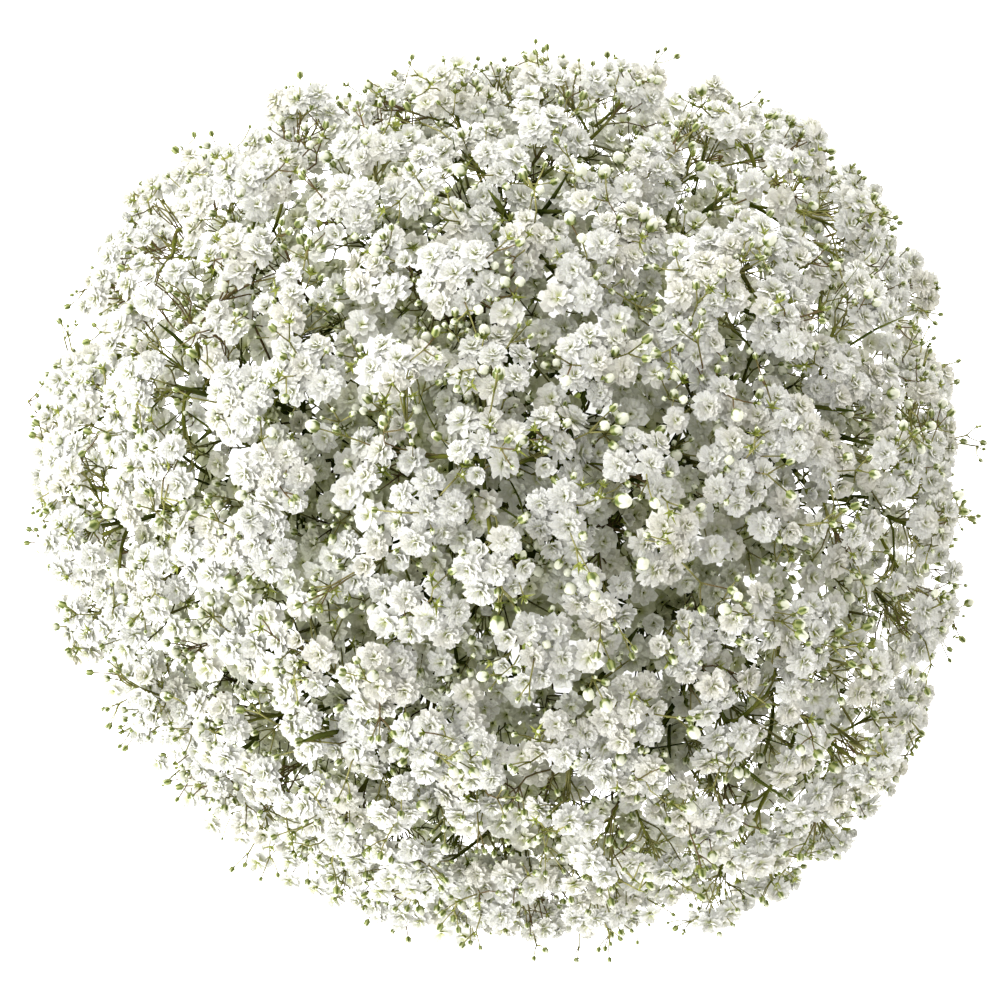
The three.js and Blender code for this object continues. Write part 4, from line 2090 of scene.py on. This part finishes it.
@dataclass
class SprayPieces:
    """One spray as three pieces: its stalks and leaves, its flowers, and its buds."""

    dressing: Dressing
    book: PatternBook
    palette: Palette
    chance: random.Random
    foot_radius: float = 1.75
    foot_run: float = 6.0  # the length of the straight runs below the waist
    overrun: float = 8.0  # how far past the cut the stem is drawn before it is cut
    bract_size: Range = (0.7, 1.1)
    leaf_size: Range = (0.75, 1.2)
    leaf_tilt: Range = (30, 58)

    @property
    def leafing(self) -> dict[Grade, tuple[float, float, float, float]]:
        """Where leaves grow.

        Returns:
            For each grade of shoot, from and to which share of it, how far apart, and how large.
        """
        if self.dressing.spray.ring is STEM_RINGS[-1]:
            return {Grade.STEM: (0.14, 0.42, 8.0, 0.9)}
        return {Grade.STEM: (0.14, 0.66, 5.0, 1.05), Grade.BRANCH: (0.1, 0.5, 9.0, 0.85)}

    def build(self) -> list[bpy.types.Object]:
        """Builds the three pieces.

        Returns:
            The pieces.
        """
        made = [self.stalks(), self.blooms(), self.buds()]
        for piece in made:
            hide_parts(self.dressing.spray.name)
        return [report(piece) for piece in made]

    def stalks(self) -> bpy.types.Object:
        """Builds the stem, branches, pedicels, leaves and bracts.

        Returns:
            The piece.
        """
        spray = self.dressing.spray
        bm = bmesh.new()
        self.add_stem(bm)
        branches = Tubes(Grade.BRANCH.extra_sides)
        twigs = Tubes(Grade.TWIG.extra_sides)
        for shoot in spray.shoots[1:]:
            tubes = branches if shoot.grade is Grade.BRANCH else twigs
            self.draw_shoot(tubes, shoot, 1)
        for tip in self.dressing.tips:
            tip.stalk.draw(twigs, 2)
        for twiglet in self.dressing.twiglets:
            twiglet.draw(twigs, 2)
        branches.pour(bm)
        twigs.pour(bm)
        self.add_bracts(bm)
        self.add_leaves(bm)
        piece = finished(f"{spray.name}_stalks", bm)
        kinds = (Plant.STEM, Plant.BRANCH, Plant.PEDICEL, Plant.BRACT, Plant.LEAF, Plant.PITH)
        self.palette.apply(piece.data, kinds)
        return piece

    def add_stem(self, bm: BMesh) -> None:
        """Adds the stem, from its level cut end through the waist to its crown flower.

        Args:
            bm: What it is added to, still empty.
        """
        spray, shoot = self.dressing.spray, self.dressing.spray.shoots[0]
        below = spray.foot - spray.heading * self.overrun
        straight = (spray.bound - below).length
        count = round(straight / self.foot_run)
        points = [below.lerp(spray.bound, i / count) for i in range(count)]
        radii = [self.foot_radius + (Grade.STEM.root - self.foot_radius) * i / count for i in range(count)]
        shares = self.drawn_shares(shoot)
        points += [shoot.point(share) for share in shares]
        radii += [shoot.radius(share) for share in shares]
        stem = Tubes(Grade.STEM.extra_sides)
        stem.add(points, radii)
        stem.pour(bm)
        cut = bmesh.ops.bisect_plane(
            bm,
            geom=bm.verts[:] + bm.edges[:] + bm.faces[:],
            plane_co=(0, 0, 0),
            plane_no=-UP,
            clear_outer=True,
        )
        edges = [item for item in cut["geom_cut"] if isinstance(item, BMEdge)]
        for face in bmesh.ops.contextual_create(bm, geom=edges)["faces"]:
            face.material_index = 5
            face.smooth = False
            sharpen(face)
        bmesh.ops.recalc_face_normals(bm, faces=bm.faces[:])

    def drawn_shares(self, shoot: Shoot) -> list[float]:
        """The shares of a shoot's length that it is drawn through, up to its last fork.

        Args:
            shoot: The shoot.

        Returns:
            The shares, from its root.
        """
        end = shoot.last_fork
        steps = max(3, round(shoot.length * end / shoot.grade.step))
        return [end * i / steps for i in range(steps + 1)]

    def draw_shoot(self, tubes: Tubes, shoot: Shoot, slot: int) -> None:
        """Draws a branch or twig along its curve.

        Args:
            tubes: What it is drawn into.
            shoot: The branch or twig.
            slot: Its material's slot.
        """
        shares = self.drawn_shares(shoot)
        radii = [shoot.radius(share) for share in shares]
        tubes.add([shoot.point(share) for share in shares], radii, slot)

    def add_bracts(self, bm: BMesh) -> None:
        """Adds a pair of bracts at each fork.

        Args:
            bm: What they are added to.
        """
        pairs = bmesh.new()
        for place, tangent in self.dressing.bracts:
            pattern = self.chance.choice(self.book.pairs)
            turn, size = self.chance.uniform(0, math.tau), self.chance.uniform(*self.bract_size)
            stamp(pairs, pattern, placement(place, tangent, turn, size))
        self.pour(pairs, bm, 3)

    def add_leaves(self, bm: BMesh) -> None:
        """Adds pairs of narrow leaves along the stem and the branches, above the waist.

        Args:
            bm: What they are added to.
        """
        leaves = bmesh.new()
        for shoot in self.dressing.spray.shoots:
            if shoot.grade not in self.leafing:
                continue
            first, last, spacing, scale = self.leafing[shoot.grade]
            count = round(shoot.length * (last - first) / spacing)
            for i in range(count):
                share = first + (last - first) * (i + 0.5) / count
                turn = self.chance.uniform(0, math.tau)
                for half in (0, math.pi):
                    size = self.chance.uniform(*self.leaf_size) * scale
                    tilt = Matrix.Rotation(math.radians(self.chance.uniform(*self.leaf_tilt)), 4, "Y")
                    stand = placement(shoot.point(share), shoot.tangent(share), turn + half, size)
                    stamp(leaves, self.book.leaf, stand @ tilt)
        self.pour(leaves, bm, 4)

    def pour(self, source: BMesh, bm: BMesh, slot: int) -> None:
        """Moves a bmesh into another, in one material slot.

        Args:
            source: The bmesh that is moved, and freed.
            bm: What it is added to.
            slot: The slot.
        """
        for face in source.faces:
            face.material_index = slot
        mesh = new_pattern("poured", source)
        bm.from_mesh(mesh)
        bpy.data.meshes.remove(mesh)

    def blooms(self) -> bpy.types.Object:
        """Builds the flowers.

        Returns:
            The piece.
        """
        piece = self.stamped("blooms", [tip for tip in self.dressing.tips if tip.petalled])
        self.palette.apply(piece.data, (Plant.PETAL, Plant.BRACT))
        return piece

    def buds(self) -> bpy.types.Object:
        """Builds the buds and the tufts of bracts.

        Returns:
            The piece.
        """
        piece = self.stamped("buds", [tip for tip in self.dressing.tips if not tip.petalled])
        self.palette.apply(piece.data, (Plant.BUD, Plant.BRACT))
        return piece

    def stamped(self, name: str, tips: list[Tip]) -> bpy.types.Object:
        """Stamps each tip's pattern where the tip is.

        Args:
            name: What the piece holds.
            tips: The tips.

        Returns:
            The piece.
        """
        bm = bmesh.new()
        for tip in tips:
            stamp(bm, tip.pattern, placement(tip.place, tip.facing, tip.turn, tip.size))
        return finished(f"{self.dressing.spray.name}_{name}", bm)


@dataclass
class Twine:
    """Twisted jute wound round the waist, with an overhand knot and two loose ends."""

    stem_radius: float = 1.75
    radius: float = 1.1
    turns: int = 4
    gap: float = 0.35
    knot_turn: float = 250.0
    knot_size: float = 0.72
    loose_turns: tuple[float, float] = (-34, 26)
    loose_reach: float = 19.0
    loose_drop: float = 17.0
    plies: int = 3
    ply_radius: float = 0.56
    twist: float = 6.0
    fray: float = 1.3
    frayed_run: int = 6
    frayed_radii: tuple[float, ...] = (0.9, 0.7, 0.4)
    turn_steps: int = 56
    knot_steps: int = 60
    end_steps: int = 30
    tubes: Tubes = field(init=False)

    def bundle_radius(self, height: float) -> float:
        """The distance from the axis to the outside of the stems, at a height above the waist."""
        outer = STEM_RINGS[-1]
        return math.hypot(outer.bind_radius, height * math.tan(math.radians(outer.lean))) + self.stem_radius

    def build(self) -> bpy.types.Object:
        """Builds the twine.

        Returns:
            The piece.
        """
        self.tubes = Tubes(2)
        reach = self.bundle_radius(0) + self.gap + 2 * self.radius
        knot = HEAD.bind + direction(90, self.knot_turn) * reach
        self.lay(self.winding(), False)
        self.lay(self.overhand(knot), False)
        for turn in self.loose_turns:
            self.lay(self.loose_end(knot, turn), True)
        bm = bmesh.new()
        self.tubes.pour(bm)
        piece = finished("twine_plies", bm)
        piece.data.materials.append(TwineFinish().material())
        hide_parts("twine")
        return report(piece)

    def winding(self) -> list[Vector]:
        """Draws the turns round the waist.

        Returns:
            Their middle line.
        """
        half = (self.turns - 1) * self.radius
        count = self.turn_steps * self.turns
        line = []
        for i in range(count + 1):
            height = -half + 2 * half * i / count
            out = direction(90, self.knot_turn + 360 * self.turns * i / count)
            reach = self.bundle_radius(height) + self.gap + self.radius
            line.append(HEAD.bind + UP * height + out * reach)
        return line

    def overhand(self, knot: Vector) -> list[Vector]:
        """Draws the knot, which crosses itself three times.

        Args:
            knot: Its middle.

        Returns:
            Its middle line.
        """
        out = direction(90, self.knot_turn)
        side = UP.cross(out)
        line = []
        for i in range(self.knot_steps + 1):
            angle = math.tau * i / self.knot_steps
            x = math.sin(angle) + 2 * math.sin(2 * angle)
            y = math.cos(angle) - 2 * math.cos(2 * angle)
            z = -math.sin(3 * angle)
            line.append(knot + (side * x + UP * y + out * z * 1.3) * self.knot_size)
        return line

    def loose_end(self, knot: Vector, turn: float) -> list[Vector]:
        """Draws one loose end, which springs out from the knot and drops.

        Args:
            knot: The middle of the knot.
            turn: The end's turn about the axis from the knot's.

        Returns:
            Its middle line.
        """
        out = direction(90, self.knot_turn + turn)
        near = knot + out * (0.8 * self.loose_reach)
        far = knot + out * self.loose_reach - UP * self.loose_drop
        return interpolate_bezier(knot, knot.lerp(near, 0.67), far.lerp(near, 0.67), far, self.end_steps)

    def lay(self, line: list[Vector], frayed: bool) -> None:
        """Lays twisted plies along a middle line.

        Args:
            line: The middle line.
            frayed: Whether the plies part at its end.
        """
        normal = (line[1] - line[0]).orthogonal().normalized()
        offset = self.radius - self.ply_radius
        plies: list[list[Vector]] = [[] for _ in range(self.plies)]
        run = 0.0
        for i, point in enumerate(line):
            tangent = (line[min(i + 1, len(line) - 1)] - line[max(i - 1, 0)]).normalized()
            normal = (normal - tangent * normal.dot(tangent)).normalized()
            binormal = tangent.cross(normal)
            run += (point - line[max(i - 1, 0)]).length
            past = i + 1 + self.frayed_run - len(line)
            loose = max(0.0, past / self.frayed_run) if frayed else 0.0
            for k, ply in enumerate(plies):
                angle = math.tau * (run / self.twist + k / self.plies)
                way = normal * math.cos(angle) + binormal * math.sin(angle)
                ply.append(point + way * (offset + loose * self.fray))
        for ply in plies:
            radii = [self.ply_radius] * len(ply)
            if frayed:
                radii[-len(self.frayed_radii) :] = [self.ply_radius * share for share in self.frayed_radii]
            self.tubes.add(ply, radii)


# ---- The studio ----


@dataclass(frozen=True)
class Lamp:
    """A soft square light aimed at the head."""

    name: str
    place: tuple[float, float, float]
    size: float
    power: float
    colour: tuple[float, float, float] = (1, 1, 1)

    def hang(self, target: Vector) -> None:
        """Adds the light.

        Args:
            target: What it is aimed at, in metres.
        """
        data = bpy.data.lights.new(self.name, "AREA")
        data.size = self.size
        data.energy = self.power
        data.color = self.colour
        lamp = put(self.name, data)
        lamp.location = self.place
        lamp.rotation_euler = (target - lamp.location).to_track_quat("-Z", "Y").to_euler()


@dataclass
class Studio:
    """A plain white floor, soft light and a camera that looks straight down."""

    camera_x: float = -0.002
    camera_height: float = 1.256
    lens: float = 123.5
    sensor: float = 36.0
    floor_size: float = 6.0
    low_sky: float = 0.1
    high_sky: float = 0.6
    sky: float = 0.42
    horizon: float = 2.5
    sky_colour: Colour = (1.0, 0.985, 0.955, 1)
    lamps: tuple[Lamp, ...] = (
        Lamp("key", (-0.9, -0.32, 1.25), 0.8, 13.9, (0.985, 0.99, 1.0)),
        Lamp("west", (-1.0, -0.6, 0.55), 0.8, 8.0, (0.96, 0.975, 1.0)),
        Lamp("north", (-0.4, 1.1, 0.55), 0.8, 8.0, (0.96, 0.975, 1.0)),
        Lamp("fill", (-0.1, 0.7, 1.3), 0.8, 3.0, (1.0, 1.0, 1.0)),
    )

    def build(self) -> None:
        """Sets the whole studio."""
        target = Vector((0, 0, HEAD.rim_height * MM))
        for lamp in self.lamps:
            lamp.hang(target)
        self.lay_floor()
        self.set_sky()
        self.set_camera()
        bpy.context.scene.view_settings.view_transform = "Standard"

    def lay_floor(self) -> None:
        """Lays the floor at the height of the cut ends."""
        bm = bmesh.new()
        bmesh.ops.create_grid(bm, x_segments=1, y_segments=1, size=self.floor_size / 2)
        mesh = new_pattern("floor", bm)
        mesh.materials.append(FloorFinish().material())
        floor = put("floor", mesh)

    def set_sky(self) -> None:
        """Fills the room with soft white light, stronger from the walls than from the ceiling."""
        world = bpy.data.worlds.new("room")
        world.use_nodes = True
        tree = world.node_tree
        way = tree.nodes.new("ShaderNodeTexCoord")
        parts = tree.nodes.new("ShaderNodeSeparateXYZ")
        fade = tree.nodes.new("ShaderNodeMapRange")
        fade.interpolation_type = "SMOOTHSTEP"
        fade.inputs["From Min"].default_value = self.low_sky
        fade.inputs["From Max"].default_value = self.high_sky
        fade.inputs["To Min"].default_value = self.horizon
        fade.inputs["To Max"].default_value = self.sky
        background = tree.nodes["Background"]
        background.inputs["Color"].default_value = self.sky_colour
        tree.links.new(way.outputs["Generated"], parts.inputs["Vector"])
        tree.links.new(parts.outputs["Z"], fade.inputs["Value"])
        tree.links.new(fade.outputs["Result"], background.inputs["Strength"])
        bpy.context.scene.world = world

    def set_camera(self) -> None:
        """Hangs the camera over the bunch, with +Y at the top of its view."""
        data = bpy.data.cameras.new("camera")
        data.lens = self.lens
        data.sensor_width = self.sensor
        camera = put("camera", data)
        camera.location = (self.camera_x, 0, self.camera_height)
        bpy.context.scene.camera = camera


def main() -> None:
    """Grows the skeleton, dresses every spray, ties the twine and sets the studio."""
    logging.basicConfig(level=logging.INFO, format="%(name)s: %(message)s")
    Studio().build()
    chance = random.Random(DRESSING_SEED)
    sprays = Skeleton().grow()
    book = PatternBook(chance)
    palette = Palette()
    dressings = Florist(book, chance).dress(sprays)
    log.info("%d flowers", sum(len(dressing.blooms) for dressing in dressings))
    log.info("%d buds and tufts", sum(len(dressing.buds) for dressing in dressings))
    for dressing in dressings:
        SprayPieces(dressing, book, palette, chance).build()
    Twine().build()


if __name__ == "__main__":
    main()
